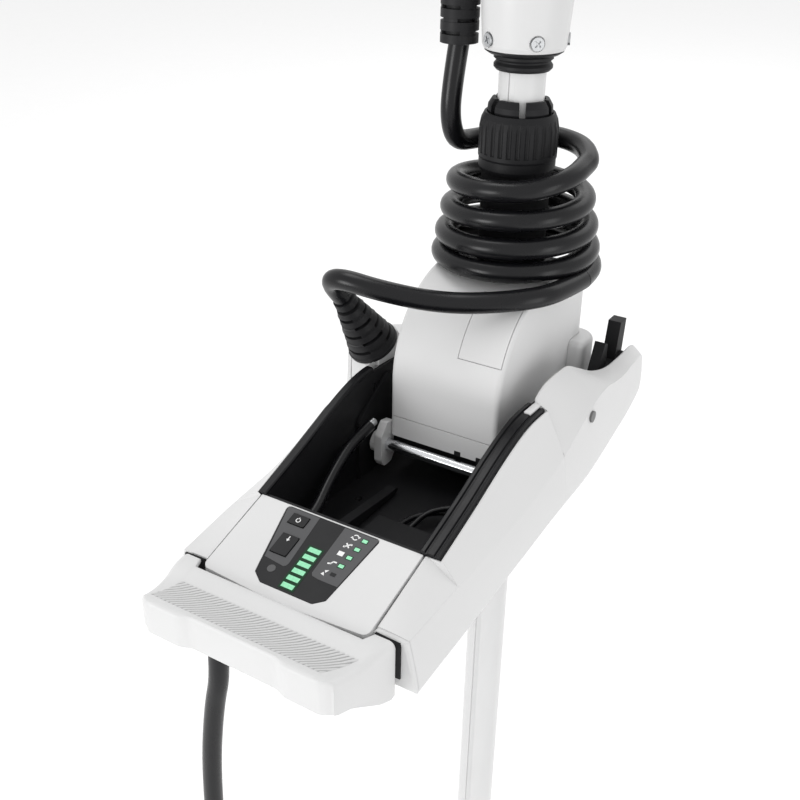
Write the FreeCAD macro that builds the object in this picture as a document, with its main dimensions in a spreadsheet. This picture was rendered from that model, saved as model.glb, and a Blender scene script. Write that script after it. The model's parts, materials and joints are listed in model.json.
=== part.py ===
"""Bow-mount electric trolling motor, deployed, as a parametric FreeCAD document.

Frame: millimetres, +Z up, +Y towards the bow, +X to starboard, origin in the deck plane at
the centre of the mounting bolt pattern.  The steering axis is vertical, at y = shaft_y.
"""
import FreeCAD, Part
import os
from math import acos, atan, cos, degrees, hypot, pi, radians, sin, tan
from FreeCAD import Placement, Rotation, Vector

DRIVING_DIMENSIONS = {
    "shaft_y": 150.0,
    "shaft_diameter": 35.0,
    "shaft_wall": 3.2,
    "shaft_groove_width": 5.0,
    "shaft_groove_depth": 1.2,
    "pod_axis_drop": 930.0,
    "head_base_height": 337.0,
    "pivot_y": 45.0,
    "pivot_height": 40.0,
    "pivot_rod_diameter": 10.0,
    "bolt_spacing_across": 92.0,
    "bolt_spacing_along": 110.0,
    "bolt_hole_diameter": 7.0,
    "base_half_width": 73.0,
    "base_length_aft": 140.0,
    "base_length_forward": 112.0,
    "base_thickness": 6.0,
    "isolator_height": 4.0,
    "tray_half_width": 66.0,
    "tray_wall": 2.5,
    "cover_wall": 3.0,
    "panel_back_y": -90.0,
    "panel_back_height": 58.4,
    "panel_slope": 0.318,
    "panel_front_y": -158.0,
    "display_plate": 2.6,
    "pedal_pivot_y": -146.0,
    "pedal_pivot_height": 12.0,
    "pedal_top_height": 41.0,
    "pedal_wall": 3.5,
    "housing_half_width": 47.0,
    "housing_top_height": 176.0,
    "housing_seam_height": 66.0,
    "housing_wall": 3.5,
    "housing_edge_radius": 4.0,
    "column_diameter": 53.0,
    "column_top": 252.0,
    "column_bottom": -22.0,
    "gear_module": 1.5,
    "gear_teeth": 48.0,
    "pinion_teeth": 24.0,
    "gear_face": 10.0,
    "gear_height": 70.0,
    "knob_radius": 30.0,
    "knob_bottom": 257.0,
    "knob_top": 291.5,
    "cable_diameter": 16.0,
    "power_cable_diameter": 15.0,
    "pod_radius": 46.0,
    "propeller_radius": 140.0,
    "running_clearance": 0.06,
}

doc = FreeCAD.newDocument("trolling_motor")
dims = doc.addObject("Spreadsheet::Sheet", "dims")
dims.Label = "driving dimensions"
for row, (alias, number) in enumerate(DRIVING_DIMENSIONS.items(), start=1):
    dims.set("A%d" % row, alias)
    dims.set("B%d" % row, str(number))
    dims.setAlias("B%d" % row, alias)
doc.recompute()

SUB_PARTS = []
SIDES = {"right": 1, "left": -1}


def size(alias):
    """A driving dimension, read back from the sheet."""
    return float(dims.get(alias))


def at(x=0.0, y=0.0, z=0.0, rotation=None):
    return Placement(Vector(x, y, z), rotation or Rotation())


def about(axis, degrees_turned):
    return Rotation(Vector(*axis), degrees_turned)


AXIS_X = (1, 0, 0)
AXIS_Y = (0, 1, 0)
AXIS_Z = (0, 0, 1)
ALONG_X = about(AXIS_Y, 90)
ALONG_Y = about(AXIS_X, -90)

SHAFT_Y = size("shaft_y")
PIVOT_Y = size("pivot_y")
PIVOT_Z = size("pivot_height")


def bind(feature, **expressions):
    """Tie properties to sheet cells; a plain number is set as it is."""
    for name, value in expressions.items():
        if isinstance(value, str):
            feature.setExpression(name, value)
        else:
            setattr(feature, name, value)
    return feature


def primitive(kind, name, place, **sizes):
    solid = doc.addObject("Part::" + kind, name)
    bind(solid, **sizes)
    solid.Placement = place
    return solid


def box(name, low, high):
    """A block between two corners."""
    solid = primitive("Box", name, at(*low), Length=high[0] - low[0],
                      Width=high[1] - low[1], Height=high[2] - low[2])
    return solid


def cylinder(name, place, radius, height):
    return primitive("Cylinder", name, place, Radius=radius, Height=height)


def fused(name, *shapes):
    fusion = doc.addObject("Part::MultiFuse", name)
    fusion.Shapes = list(shapes)
    return fusion


def common(name, *shapes):
    result = doc.addObject("Part::MultiCommon", name)
    result.Shapes = list(shapes)
    return result


def cut(name, base, *tools):
    result = doc.addObject("Part::Cut", name)
    result.Base = base
    result.Tool = tools[0] if len(tools) == 1 else fused(name + "_tools", *tools)
    return result


def group(name, *shapes):
    """Identical or paired solids that share one node."""
    compound = doc.addObject("Part::Compound", name)
    compound.Links = list(shapes)
    return compound


def raw(name, shape, place=None):
    feature = doc.addObject("Part::Feature", name)
    feature.Shape = shape
    if place:
        feature.Placement = place
    return feature


def mirrored(name, source):
    """The same piece on the other side of the centre plane."""
    mirror = doc.addObject("Part::Mirroring", name)
    mirror.Source = source
    mirror.Base = Vector(0, 0, 0)
    mirror.Normal = Vector(1, 0, 0)
    return mirror


def both_sides(name, piece):
    return group(name, piece, mirrored(name + "_port", piece))


def sub_part(feature, label):
    feature.Label = label
    if feature.Label != label:
        raise RuntimeError("the label %s is taken" % label)
    SUB_PARTS.append(feature)
    return feature


def polygon(points):
    """Closed outline of straight edges."""
    edges = []
    for start, end in zip(points, points[1:] + points[:1]):
        edges.append(Part.LineSegment(Vector(start[0], start[1], 0), Vector(end[0], end[1], 0)))
    return edges


def rounded_polygon(points, radius):
    """Closed outline whose corners are tangent arcs; radius is one number or one per corner."""
    count = len(points)
    radii = radius if isinstance(radius, (list, tuple)) else [radius] * count
    corners = [Vector(p[0], p[1], 0) for p in points]
    spans = []
    for i, corner in enumerate(corners):
        before = (corners[i - 1] - corner).normalize()
        after = (corners[(i + 1) % count] - corner).normalize()
        half = acos(max(-1.0, min(1.0, before.dot(after)))) / 2
        if radii[i] == 0:
            spans.append((corner, corner, corner))
            continue
        reach = radii[i] / tan(half)
        bisector = (before + after).normalize()
        middle = corner + bisector * (radii[i] / sin(half) - radii[i])
        spans.append((corner + before * reach, middle, corner + after * reach))
    edges = []
    for i in range(count):
        start, middle, end = spans[i]
        if start.distanceToPoint(end) > 1e-6:
            edges.append(Part.Arc(start, middle, end))
        edges.append(Part.LineSegment(end, spans[(i + 1) % count][0]))
    return edges


def sketch_on(body, role, name, outline, lift=0.0):
    """Sketch on one of the body's own origin planes, moved along its normal by lift."""
    plane = [feature for feature in body.Origin.OriginFeatures if feature.Role == role][0]
    sketch = body.newObject("Sketcher::SketchObject", name)
    sketch.AttachmentSupport = [(plane, "")]
    sketch.MapMode = "FlatFace"
    sketch.AttachmentOffset = at(z=lift)
    for edge in outline:
        sketch.addGeometry(edge, False)
    return sketch


def prism(name, role, outline, length, place=None, lift=0.0):
    """PartDesign pad.  Pads run along +Z on XY, -Y on XZ and +X on YZ."""
    body = doc.addObject("PartDesign::Body", name)
    sketch = sketch_on(body, role, name + "_outline", outline, lift)
    pad = body.newObject("PartDesign::Pad", name + "_pad")
    pad.Profile = sketch
    bind(pad, Length=length)
    body.Tip = pad
    body.Placement = place or at()
    return body


def side_prism(name, outline, half_width):
    """Pad of a (y, z) outline, symmetric about the centre plane."""
    return prism(name, "YZ_Plane", outline, 2 * half_width, at(x=-half_width))


def turned(name, outline, place=None):
    """PartDesign revolution of an (r, z) outline about the body's own Z axis."""
    body = doc.addObject("PartDesign::Body", name)
    sketch = sketch_on(body, "XZ_Plane", name + "_outline", polygon(outline))
    revolution = body.newObject("PartDesign::Revolution", name + "_turn")
    revolution.Profile = sketch
    revolution.ReferenceAxis = (sketch, ["V_Axis"])
    revolution.Angle = 360.0
    body.Tip = revolution
    body.Placement = place or at()
    return body


def lofted(name, stations):
    """PartDesign ruled loft through (x, z) outlines at successive y stations."""
    body = doc.addObject("PartDesign::Body", name)
    sketches = []
    for index, (y, outline) in enumerate(stations):
        sketches.append(sketch_on(body, "XZ_Plane", "%s_station_%d" % (name, index), polygon(outline), -y))
    loft = body.newObject("PartDesign::AdditiveLoft", name + "_loft")
    loft.Profile = sketches[0]
    loft.Sections = sketches[1:]
    loft.Ruled = True
    body.Tip = loft
    return body


def filleted(name, base, radius, wanted):
    """Part fillet of the base's edges for which wanted(edge) is true."""
    doc.recompute()
    fillet = doc.addObject("Part::Fillet", name)
    fillet.Base = base
    chosen = [i for i, edge in enumerate(base.Shape.Edges, start=1) if wanted(edge)]
    fillet.Edges = [(i, radius, radius) for i in chosen]
    return fillet


def on_plane(axis_index, value, tolerance=0.01):
    """Edge test: the whole edge lies at one coordinate value (or at its mirror image)."""
    def wanted(edge):
        ends = [abs(vertex.Point[axis_index]) for vertex in edge.Vertexes]
        middle = abs(edge.CenterOfMass[axis_index])
        return all(abs(number - value) < tolerance for number in ends + [middle])
    return wanted


def tube_along(points, diameter, name):
    """Tube of straight runs joined by tangent arcs; returns its shape."""
    vectors = [Vector(*point) for point in points]
    radii = []
    edges = []
    start = vectors[0]
    for before, corner, after in zip(vectors, vectors[1:], vectors[2:]):
        arriving = (corner - before).normalize()
        leaving = (after - corner).normalize()
        turn = arriving.getAngle(leaving)
        shorter = min((corner - before).Length, (after - corner).Length)
        reach = 0.45 * shorter
        radii.append(reach / tan(turn / 2))
        arc_start = corner - arriving * reach
        arc_end = corner + leaving * reach
        inward = (leaving - arriving).normalize()
        middle = corner + inward * (radii[-1] / cos(turn / 2) - radii[-1])
        edges.append(Part.LineSegment(start, arc_start).toShape())
        edges.append(Part.Arc(arc_start, middle, arc_end).toShape())
        start = arc_end
    edges.append(Part.LineSegment(start, vectors[-1]).toShape())
    path = Part.Wire(edges)
    ring = Part.Wire([Part.Circle(vectors[0], vectors[1] - vectors[0], diameter / 2).toShape()])
    tube = path.makePipeShell([ring], True, True)
    expected = pi * diameter ** 2 / 4 * path.Length
    print("%s: length %.0f, volume ratio %.3f, radii %s"
          % (name, path.Length, tube.Volume / expected, [round(radius) for radius in radii]))
    return tube


# ---------------------------------------------------------------- deck mount

def bolt_places():
    """The six mounting bolts: two columns of three, centred on the origin."""
    half = size("bolt_spacing_across") / 2
    along = size("bolt_spacing_along")
    return [(side * half, step * along) for side in (1, -1) for step in (-1, 0, 1)]


def base_frame():
    """Cast base: deck plate, two bow arms round the shaft's swing slot, side rails with ears."""
    bottom = size("isolator_height")
    top = bottom + size("base_thickness")
    half = size("base_half_width")
    aft = -size("base_length_aft")
    forward = size("base_length_forward")
    slot_half = 38.0
    arm_end = 198.0
    rail_inner = 67.0
    pieces = [box("base_plate", (-half, aft, bottom), (half, forward, top))]
    for side in (1, -1):
        tag = "r" if side > 0 else "l"

        def block(name, x0, x1, y0, y1, z0, z1):
            low, high = sorted((side * x0, side * x1))
            return box("%s_%s" % (name, tag), (low, y0, z0), (high, y1, z1))
        pieces.append(block("base_arm", slot_half, half, forward - 1, arm_end, bottom, top))
        pieces.append(block("base_rail", rail_inner, half, aft + 10, arm_end, top - 1, 34.0))
        pieces.append(block("base_ear", rail_inner, half, 20.0, 72.0, 30.0, 62.0))
        pieces.append(block("pedal_ear", 39.0, 45.0, -158.0, aft + 4, bottom, 20.0))
    pieces.append(box("gland_tab", (-76.0, -163.0, bottom), (-54.0, aft + 4, top)))
    holes = []
    for index, (x, y) in enumerate(bolt_places()):
        holes.append(cylinder("base_bolt_hole_%d" % index, at(x, y, 0),
                              "dims.bolt_hole_diameter / 2", 30.0))
    holes.append(cylinder("base_rod_bore", at(-90, PIVOT_Y, PIVOT_Z, ALONG_X),
                          "dims.pivot_rod_diameter / 2", 180.0))
    holes.append(cylinder("base_pedal_bore", at(-50, size("pedal_pivot_y"),
                                                size("pedal_pivot_height"), ALONG_X), 3.0, 100.0))
    holes.append(cylinder("base_gland_hole", at(GLAND_X, GLAND_Y, 0), 9.2, 30.0))
    sub_part(cut("base_frame_cast", fused("base_frame_blank", *pieces), *holes), "base_frame")


GLAND_X = -65.0
GLAND_Y = -150.0


def deck_isolators():
    """Rubber pads that hold the base off the deck round each bolt."""
    pads = []
    for index, (x, y) in enumerate(bolt_places()):
        disc = cylinder("isolator_disc_%d" % index, at(x, y, 0), 11.0, "dims.isolator_height")
        bore = cylinder("isolator_bore_%d" % index, at(x, y, -1), "dims.bolt_hole_diameter / 2", 10.0)
        pads.append(cut("isolator_%d" % index, disc, bore))
    sub_part(group("pads", *pads), "deck_isolators")


RIM_LINE = [(-90.0, 57.0), (-46.0, 72.0), (-8.0, 87.0), (20.0, 96.0), (39.0, 99.0), (62.0, 98.6),
            (92.0, 97.0), (134.0, 96.0)]


def tray_liner():
    """Open bay between the side covers; its forward end is open for the shaft to swing out."""
    floor = size("isolator_height") + size("base_thickness")
    wall = size("tray_wall")
    half = size("tray_half_width")
    outer = side_prism("tray_outer", polygon([(-90.0, floor), (134.0, floor)] + RIM_LINE[::-1]), half)
    inner = side_prism("tray_inner", polygon([(-90.0 + wall, floor + wall), (140.0, floor + wall),
                                              (140.0, 120.0), (-90.0 + wall, 120.0)]), half - wall)
    tools = [inner, box("tray_slot", (-38.0, 108.0, 0.0), (38.0, 140.0, 30.0))]
    for index, (x, y) in enumerate(bolt_places()):
        if y > size("panel_back_y"):
            tools.append(cylinder("tray_bolt_hole_%d" % index, at(x, y, 0),
                                  "dims.bolt_hole_diameter / 2", 20.0))
    tools.append(cylinder("tray_rod_hole", at(-80, PIVOT_Y, PIVOT_Z, ALONG_X), 5.4, 160.0))
    for index in range(6):
        y = 48.0 + 7.0 * index
        tools.append(box("tray_louvre_%d" % index, (-70.0, y, 76.0), (-60.0, y + 3.0, 88.0)))
    tools.append(box("tray_cable_gate", (-62.0, -95.0, 14.0), (-36.0, -80.0, 34.0)))
    sub_part(cut("tray", outer, *tools), "tray_liner")
    strip = [(y, z + 0.1) for y, z in RIM_LINE[:6]]
    cap = [(y, z + 3.6) for y, z in reversed(strip)]
    trims = []
    for name, side in SIDES.items():
        low, high = sorted((side * 63.5, side * (RIM_EDGE[name] - 0.6)))
        trims.append(prism("rim_trim_" + name, "YZ_Plane", polygon(strip + cap), high - low, at(x=low)))
    trims[1] = cut("rim_trim_gated", trims[1], boot_clearance("trim_boot_gate"))
    sub_part(group("rim_trim_pair", *trims), "rim_trims")


RIM_EDGE = {"right": 78.6, "left": 70.9}
COVER_STATIONS = [
    # y, top edge (x, z), crease (x, z), bottom (x, z); beside the bay the top edge is at RIM_EDGE
    (-150.0, (67.4, 38.6), (88.0, 38.0), (99.0, 0.5)),
    (-99.0, (67.4, 55.2), (92.0, 42.0), (100.0, 7.0)),
    (-91.0, (67.4, 57.8), (92.3, 42.6), (100.1, 8.0)),
    (-90.0, (None, 58.6), (92.3, 42.7), (100.1, 8.1)),
    (-46.0, (None, 74.4), (94.0, 46.0), (100.5, 14.0)),
    (-8.0, (None, 89.2), (95.5, 51.5), (101.0, 18.5)),
    (39.0, (None, 101.0), (96.5, 60.0), (101.0, 23.5)),
    (61.9, (None, 101.0), (97.0, 66.0), (101.0, 25.0)),
    (62.1, (67.4, 104.0), (97.0, 67.0), (101.0, 25.2)),
    (80.0, (67.4, 111.0), (97.3, 73.0), (101.0, 26.0)),
    (108.0, (67.8, 112.0), (98.0, 88.0), (101.0, 28.5)),
    (121.0, (69.0, 112.0), (98.5, 94.0), (101.0, 31.5)),
    (135.0, (73.0, 104.0), (98.8, 96.0), (101.0, 35.0)),
    (148.0, (77.0, 97.0), (99.0, 93.0), (101.0, 39.0)),
    (166.0, (82.0, 93.5), (99.3, 91.0), (101.0, 45.0)),
    (186.0, (86.0, 97.0), (99.5, 93.0), (101.0, 50.0)),
    (203.0, (88.0, 101.0), (99.3, 93.0), (100.5, 57.5)),
    (211.0, (88.5, 97.0), (98.5, 88.0), (99.5, 64.0)),
    (216.0, (89.0, 86.0), (96.5, 81.0), (97.0, 70.0)),
]


def side_covers():
    """Moulded side shells, with a raised shoulder, a scooped top and a rising bow nose."""
    wall = size("cover_wall")
    for name, side in SIDES.items():
        stations = []
        for y, top, crease, bottom in COVER_STATIONS:
            shoulder = side < 0 and 62.0 < y < 122.0
            lift = max(crease[1], 104.0) if shoulder else crease[1]
            edge = RIM_EDGE[name] if top[0] is None else top[0]
            outline = [(side * edge, top[1]), (side * crease[0], lift),
                       (side * bottom[0], bottom[1]), (side * (bottom[0] - wall), bottom[1]),
                       (side * (crease[0] - wall), lift - wall), (side * edge, top[1] - wall - 0.3)]
            stations.append((y, outline))
        shell = lofted("side_shell_" + name, stations)
        y, top, crease, bottom = COVER_STATIONS[0]
        end_outline = [(side * top[0], top[1]), (side * crease[0], crease[1]),
                       (side * bottom[0], bottom[1]), (side * top[0], bottom[1])]
        end_wall = prism("side_end_" + name, "XZ_Plane", polygon(end_outline), wall, at(y=y + wall))
        members = [shell, end_wall]
        if side < 0:
            members.append(boot_seat())
        whole = fused("side_whole_" + name, *members)
        low, high = sorted((side * 60.0, side * (RIM_EDGE[name] - 0.3)))
        trim_seat = box("trim_seat_" + name, (low, -90.2, 0.0), (high, 62.0, 130.0))
        holes = [cylinder("cap_seat_%s_%d" % (name, index), at(side * 85 - 20, y, z, ALONG_X), 4.9, 40.0)
                 for index, (y, z) in enumerate(SCREW_CAP_PLACES)]
        if side < 0:
            holes.append(boot_clearance("cover_boot_gate"))
        low, high = sorted((side * 54.0, side * 86.0))
        cable_gate = box("cable_gate_" + name, (low, -152.0, -5.0), (high, -140.0, 18.0))
        sub_part(cut("side_cover_%s_cut" % name, whole, trim_seat, cable_gate, *holes),
                 "side_cover_" + name)
    caps = [cylinder("screw_cap_%d" % index, at(96.0, y, z, ALONG_X), 4.6, 3.9)
            for index, (y, z) in enumerate(SCREW_CAP_PLACES)]
    sub_part(both_sides("screw_cap_pairs", group("screw_cap_side", *caps)), "screw_caps")


def boot_seat():
    """Raised round seat on the port shoulder, under the motor cable's strain relief."""
    seat = cylinder("boot_seat_disc", Placement(BOOT_BASE - BOOT_AXIS * 22.0, BOOT_ROTATION), 22.0, 21.7)
    keep_clear = box("boot_seat_clear", (-67.2, 30.0, 60.0), (-40.0, 130.0, 140.0))
    keep_top = box("boot_seat_floor", (-110.0, 30.0, 60.0), (-40.0, 130.0, 97.0))
    return cut("boot_seat", seat, keep_clear, keep_top)


def boot_clearance(name):
    """Room for the motor cable's strain relief boot."""
    return cylinder(name, Placement(BOOT_BASE, BOOT_ROTATION), 21.2, 60.0)


SCREW_CAP_PLACES = [(106.0, 81.0), (190.0, 58.5)]


def panel_height(y):
    """Height of the sloping control cover above the deck plane."""
    return size("panel_back_height") + size("panel_slope") * (y - size("panel_back_y"))


PANEL_TILT = about(AXIS_X, degrees(atan(size("panel_slope"))))
DISPLAY_OUTLINE = [(-43.0, -1.6), (34.4, -1.6), (27.6, -58.6), (20.5, -64.4), (-21.3, -64.4), (-29.9, -58.4)]
DISPLAY_RADII = [3.0, 3.0, 2.0, 2.0, 2.0, 2.0]


def on_panel(along_x=0.0, down=0.0, lift=0.0):
    """Placement on the control cover: X across, Y up the slope from its back edge, Z outward."""
    back = Vector(0, size("panel_back_y"), size("panel_back_height"))
    return Placement(back + PANEL_TILT.multVec(Vector(along_x, down, lift)), PANEL_TILT)


def panel_block(name, inset, drop, bottom, back):
    """Solid under the sloping cover surface, inset from its sides and front."""
    front = size("panel_front_y") + inset
    half = size("tray_half_width") + 0.3 - inset
    plan = prism(name + "_plan", "XY_Plane",
                 rounded_polygon([(-half, back), (-half, front + 1.5), (0, front - 2.0),
                                  (half, front + 1.5), (half, back)], [0, 5, 60, 5, 0]), 80.0)
    plan.Placement = at(z=bottom)
    side = side_prism(name + "_side",
                      polygon([(back, bottom), (back, panel_height(back) - drop),
                               (-170.0, panel_height(-170.0) - drop), (-170.0, bottom)]), 70.0)
    return common(name, plan, side)


def control_panel():
    wall = size("cover_wall")
    outer = panel_block("panel_outer", 0.0, 0.0, 20.0, -90.5)
    inner = panel_block("panel_inner", wall, wall, 15.0, -80.0)
    window = prism("panel_window", "XY_Plane", rounded_polygon(DISPLAY_OUTLINE, DISPLAY_RADII), 12.0,
                   on_panel(lift=-8.0))
    gates = []
    for side in (1, -1):
        low, high = sorted((side * 44.0, side * 52.0))
        gates.append(box("pedal_gate_%d" % (side + 1), (low, -166.0, 10.0), (high, -150.0, 31.5)))
    sub_part(cut("panel_shell", outer, inner, window, *gates), "panel_cover")
    plate = prism("display_plate_blank", "XY_Plane",
                  rounded_polygon([(x * 0.994 - 0.02, y + 0.2 if y < -30 else y - 0.2)
                                   for x, y in DISPLAY_OUTLINE], DISPLAY_RADII),
                  "dims.display_plate", on_panel(lift=0.2 - size("display_plate")))
    tools = []
    for name, (x, y, width, height) in BUTTONS.items():
        tools.append(prism(name + "_hole", "XY_Plane", centred_rectangle(width + 0.6, height + 0.6, 1.5),
                           12.0, on_panel(x, y, -6.0)))
    for index, y in enumerate(BATTERY_BAR_LINE):
        tools.append(prism("bar_window_%d" % index, "XY_Plane", centred_rectangle(11.0, 3.9, 0.3), 12.0,
                           on_panel(BATTERY_BAR_X, y, -6.0)))
    for index, (x, y) in enumerate(STATUS_LIGHTS):
        tools.append(prism("status_window_%d" % index, "XY_Plane", centred_rectangle(3.2, 2.6, 0.3), 12.0,
                           on_panel(x, y, -6.0)))
    sub_part(cut("display", plate, *tools), "display_bezel")
    bars = [prism("battery_bar_%d" % index, "XY_Plane", centred_rectangle(10.9, 3.8, 0.3), 1.6,
                  on_panel(BATTERY_BAR_X, y, -1.3)) for index, y in enumerate(BATTERY_BAR_LINE)]
    sub_part(group("battery_bars", *bars), "battery_lights")
    dots = [prism("status_dot_%d" % index, "XY_Plane", centred_rectangle(3.1, 2.5, 0.3), 1.6,
                  on_panel(x, y, -1.3)) for index, (x, y) in enumerate(STATUS_LIGHTS)]
    sub_part(group("status_dots", *dots), "status_lights")
    board = prism("control_board_blank", "XY_Plane", centred_rectangle(54.0, 50.0, 2.0), 1.6,
                  on_panel(-1.0, -31.0, -9.0))
    sub_part(board, "control_board")
    for name, (x, y, width, height) in BUTTONS.items():
        cap = prism(name + "_cap", "XY_Plane", centred_rectangle(width, height, 1.5), 3.6,
                    on_panel(x, y, -2.6))
        stem = cylinder(name + "_stem", on_panel(x, y, -5.6), 2.0, 3.2)
        sub_part(fused(name + "_solid", cap, stem), name)


def centred_rectangle(width, height, radius):
    x, y = width / 2, height / 2
    return rounded_polygon([(-x, -y), (x, -y), (x, y), (-x, y)], radius)


BUTTONS = {"power_button": (-27.4, -10.5, 13.4, 8.6), "mode_rocker": (-24.2, -32.0, 13.2, 16.6)}
BATTERY_BAR_X = -2.1
BATTERY_BAR_LINE = [-28.0 - 6.25 * index for index in range(6)]
STATUS_LIGHTS = [(25.0 - 1.15 * index, -7.2 - 8.0 * index) for index in range(5)]


def bay_fittings():
    """Raised floor plate, pivot brackets, rod, bow rests, strain relief and cables in the bay."""
    plate = box("floor_plate_blank", (-12.0, -84.0, 20.0), (60.0, -22.0, 22.0))
    legs = [box("floor_plate_leg_%d" % index, (x, y, 12.5), (x + 4, y + 4, 20.5))
            for index, (x, y) in enumerate([(-10, -82), (54, -82), (-10, -28), (54, -28)])]
    slots = [box("floor_plate_slot_%d" % index, (x, -70.0, 10.0), (x + 16, -66.0, 30.0))
             for index, x in enumerate([2.0, 32.0])]
    sub_part(cut("floor_plate_cut", fused("floor_plate_whole", plate, *legs), *slots), "floor_plate")

    bracket = prism("bracket_blank", "YZ_Plane",
                    rounded_polygon([(24.0, 12.6), (82.0, 12.6), (82.0, 84.0), (66.0, 92.0), (24.0, 66.0)],
                                    [0, 0, 4, 4, 6]), 2.4, at(x=61.0))
    rivet = cylinder("bracket_rivet", at(59.6, 34.0, 58.0, ALONG_X), 2.4, 1.8)
    bore = cylinder("bracket_bore", at(50, PIVOT_Y, PIVOT_Z, ALONG_X), "dims.pivot_rod_diameter / 2", 30.0)
    sub_part(both_sides("brackets", cut("bracket", fused("bracket_riveted", bracket, rivet), bore)),
             "pivot_brackets")
    sub_part(cylinder("rod", at(-73, PIVOT_Y, PIVOT_Z, ALONG_X), "dims.pivot_rod_diameter / 2", 146.0),
             "pivot_rod")

    rest = prism("bow_rest_blank", "YZ_Plane",
                 polygon([(140.0, 66.0), (205.0, 66.0), (205.0, 94.0), (140.0, 78.0)]), 16.0, at(x=68.0))
    tall = prism("bow_rest_tall", "YZ_Plane",
                 polygon([(190.0, 86.0), (205.0, 86.0), (209.0, 122.0), (197.0, 122.0)]), 11.0, at(x=70.5))
    short = prism("bow_rest_short", "YZ_Plane",
                  polygon([(160.0, 80.0), (182.0, 80.0), (181.0, 108.0), (175.0, 111.0)]), 9.0, at(x=69.0))
    sub_part(both_sides("bow_rest_pair", fused("bow_rest", rest, tall, short)), "bow_rests")

    outline = [(0.0, 0.0), (21.0, 0.0), (21.0, 3.0)]
    rings = 6
    pitch = (BOOT_LENGTH - 9.0) / rings
    for index in range(rings):
        z = 3.0 + index * pitch
        radius = 20.5 - index * 1.75
        outline += [(radius, z + 0.1), (radius - 1.4, z + 0.64 * pitch), (radius - 5.0, z + 0.64 * pitch),
                    (radius - 5.0, z + pitch)]
    outline += [(9.6, BOOT_LENGTH - 5.5), (9.2, BOOT_LENGTH), (0.0, BOOT_LENGTH)]
    sub_part(turned("mount_boot_body", outline, Placement(BOOT_BASE, BOOT_ROTATION)), "mount_boot")

    release = tube_along([(-52.0, 26.0, 64.5), (-55.0, 0.0, 56.0), (-52.0, -28.0, 44.0), (-46.0, -58.0, 30.0),
                          (-48.0, -86.0, 24.0)], 9.0, "release_cable")
    sub_part(raw("release_cable_shape", release), "release_cable")
    wires = []
    for index, rise in enumerate((0.0, 6.0)):
        route = [(2.0 + 9 * index, -18.0, 15.2), (8.0 + 9 * index, -2.0, 17.5 + rise),
                 (24.0 + 6 * index, 10.0, 20.0 + rise), (42.0 + 4 * index, 14.0 + 2 * index, 20.0 + rise),
                 (59.0, 15.0 + 7 * index, 19.0 + rise)]
        wires.append(raw("bay_wire_%d" % index, tube_along(route, 4.4, "bay_wire")))
    sub_part(group("wires", *wires), "bay_wires")


BOOT_BASE = Vector(-82.0, 76.0, 108.0)
BOOT_TIP = Vector(-90.5, 47.0, 155.0)
BOOT_AXIS = (BOOT_TIP - BOOT_BASE).normalize()
BOOT_ROTATION = Rotation(Vector(0, 0, 1), BOOT_AXIS)
BOOT_LENGTH = (BOOT_TIP - BOOT_BASE).Length


# ---------------------------------------------------------------- pedal and latch

def pedal_plan(inset):
    half_back = 84.5 - inset
    half_tip = 75.0 - inset
    front = -206.0 + inset
    return [(half_back, -153.0 - 0.3 * inset), (half_tip + 5.0, -180.0), (half_tip, front + 1.0),
            (half_tip - 6.0, front - 3.2), (42.0, front - 3.2), (33.0, front), (-33.0, front),
            (-42.0, front - 3.2), (6.0 - half_tip, front - 3.2), (-half_tip, front + 1.0),
            (-half_tip - 5.0, -180.0), (-half_back, -153.0 - 0.3 * inset), (-69.0, -153.0 - 0.3 * inset),
            (-67.5, -161.4), (67.5, -161.4), (69.0, -153.0 - 0.3 * inset)]


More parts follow.
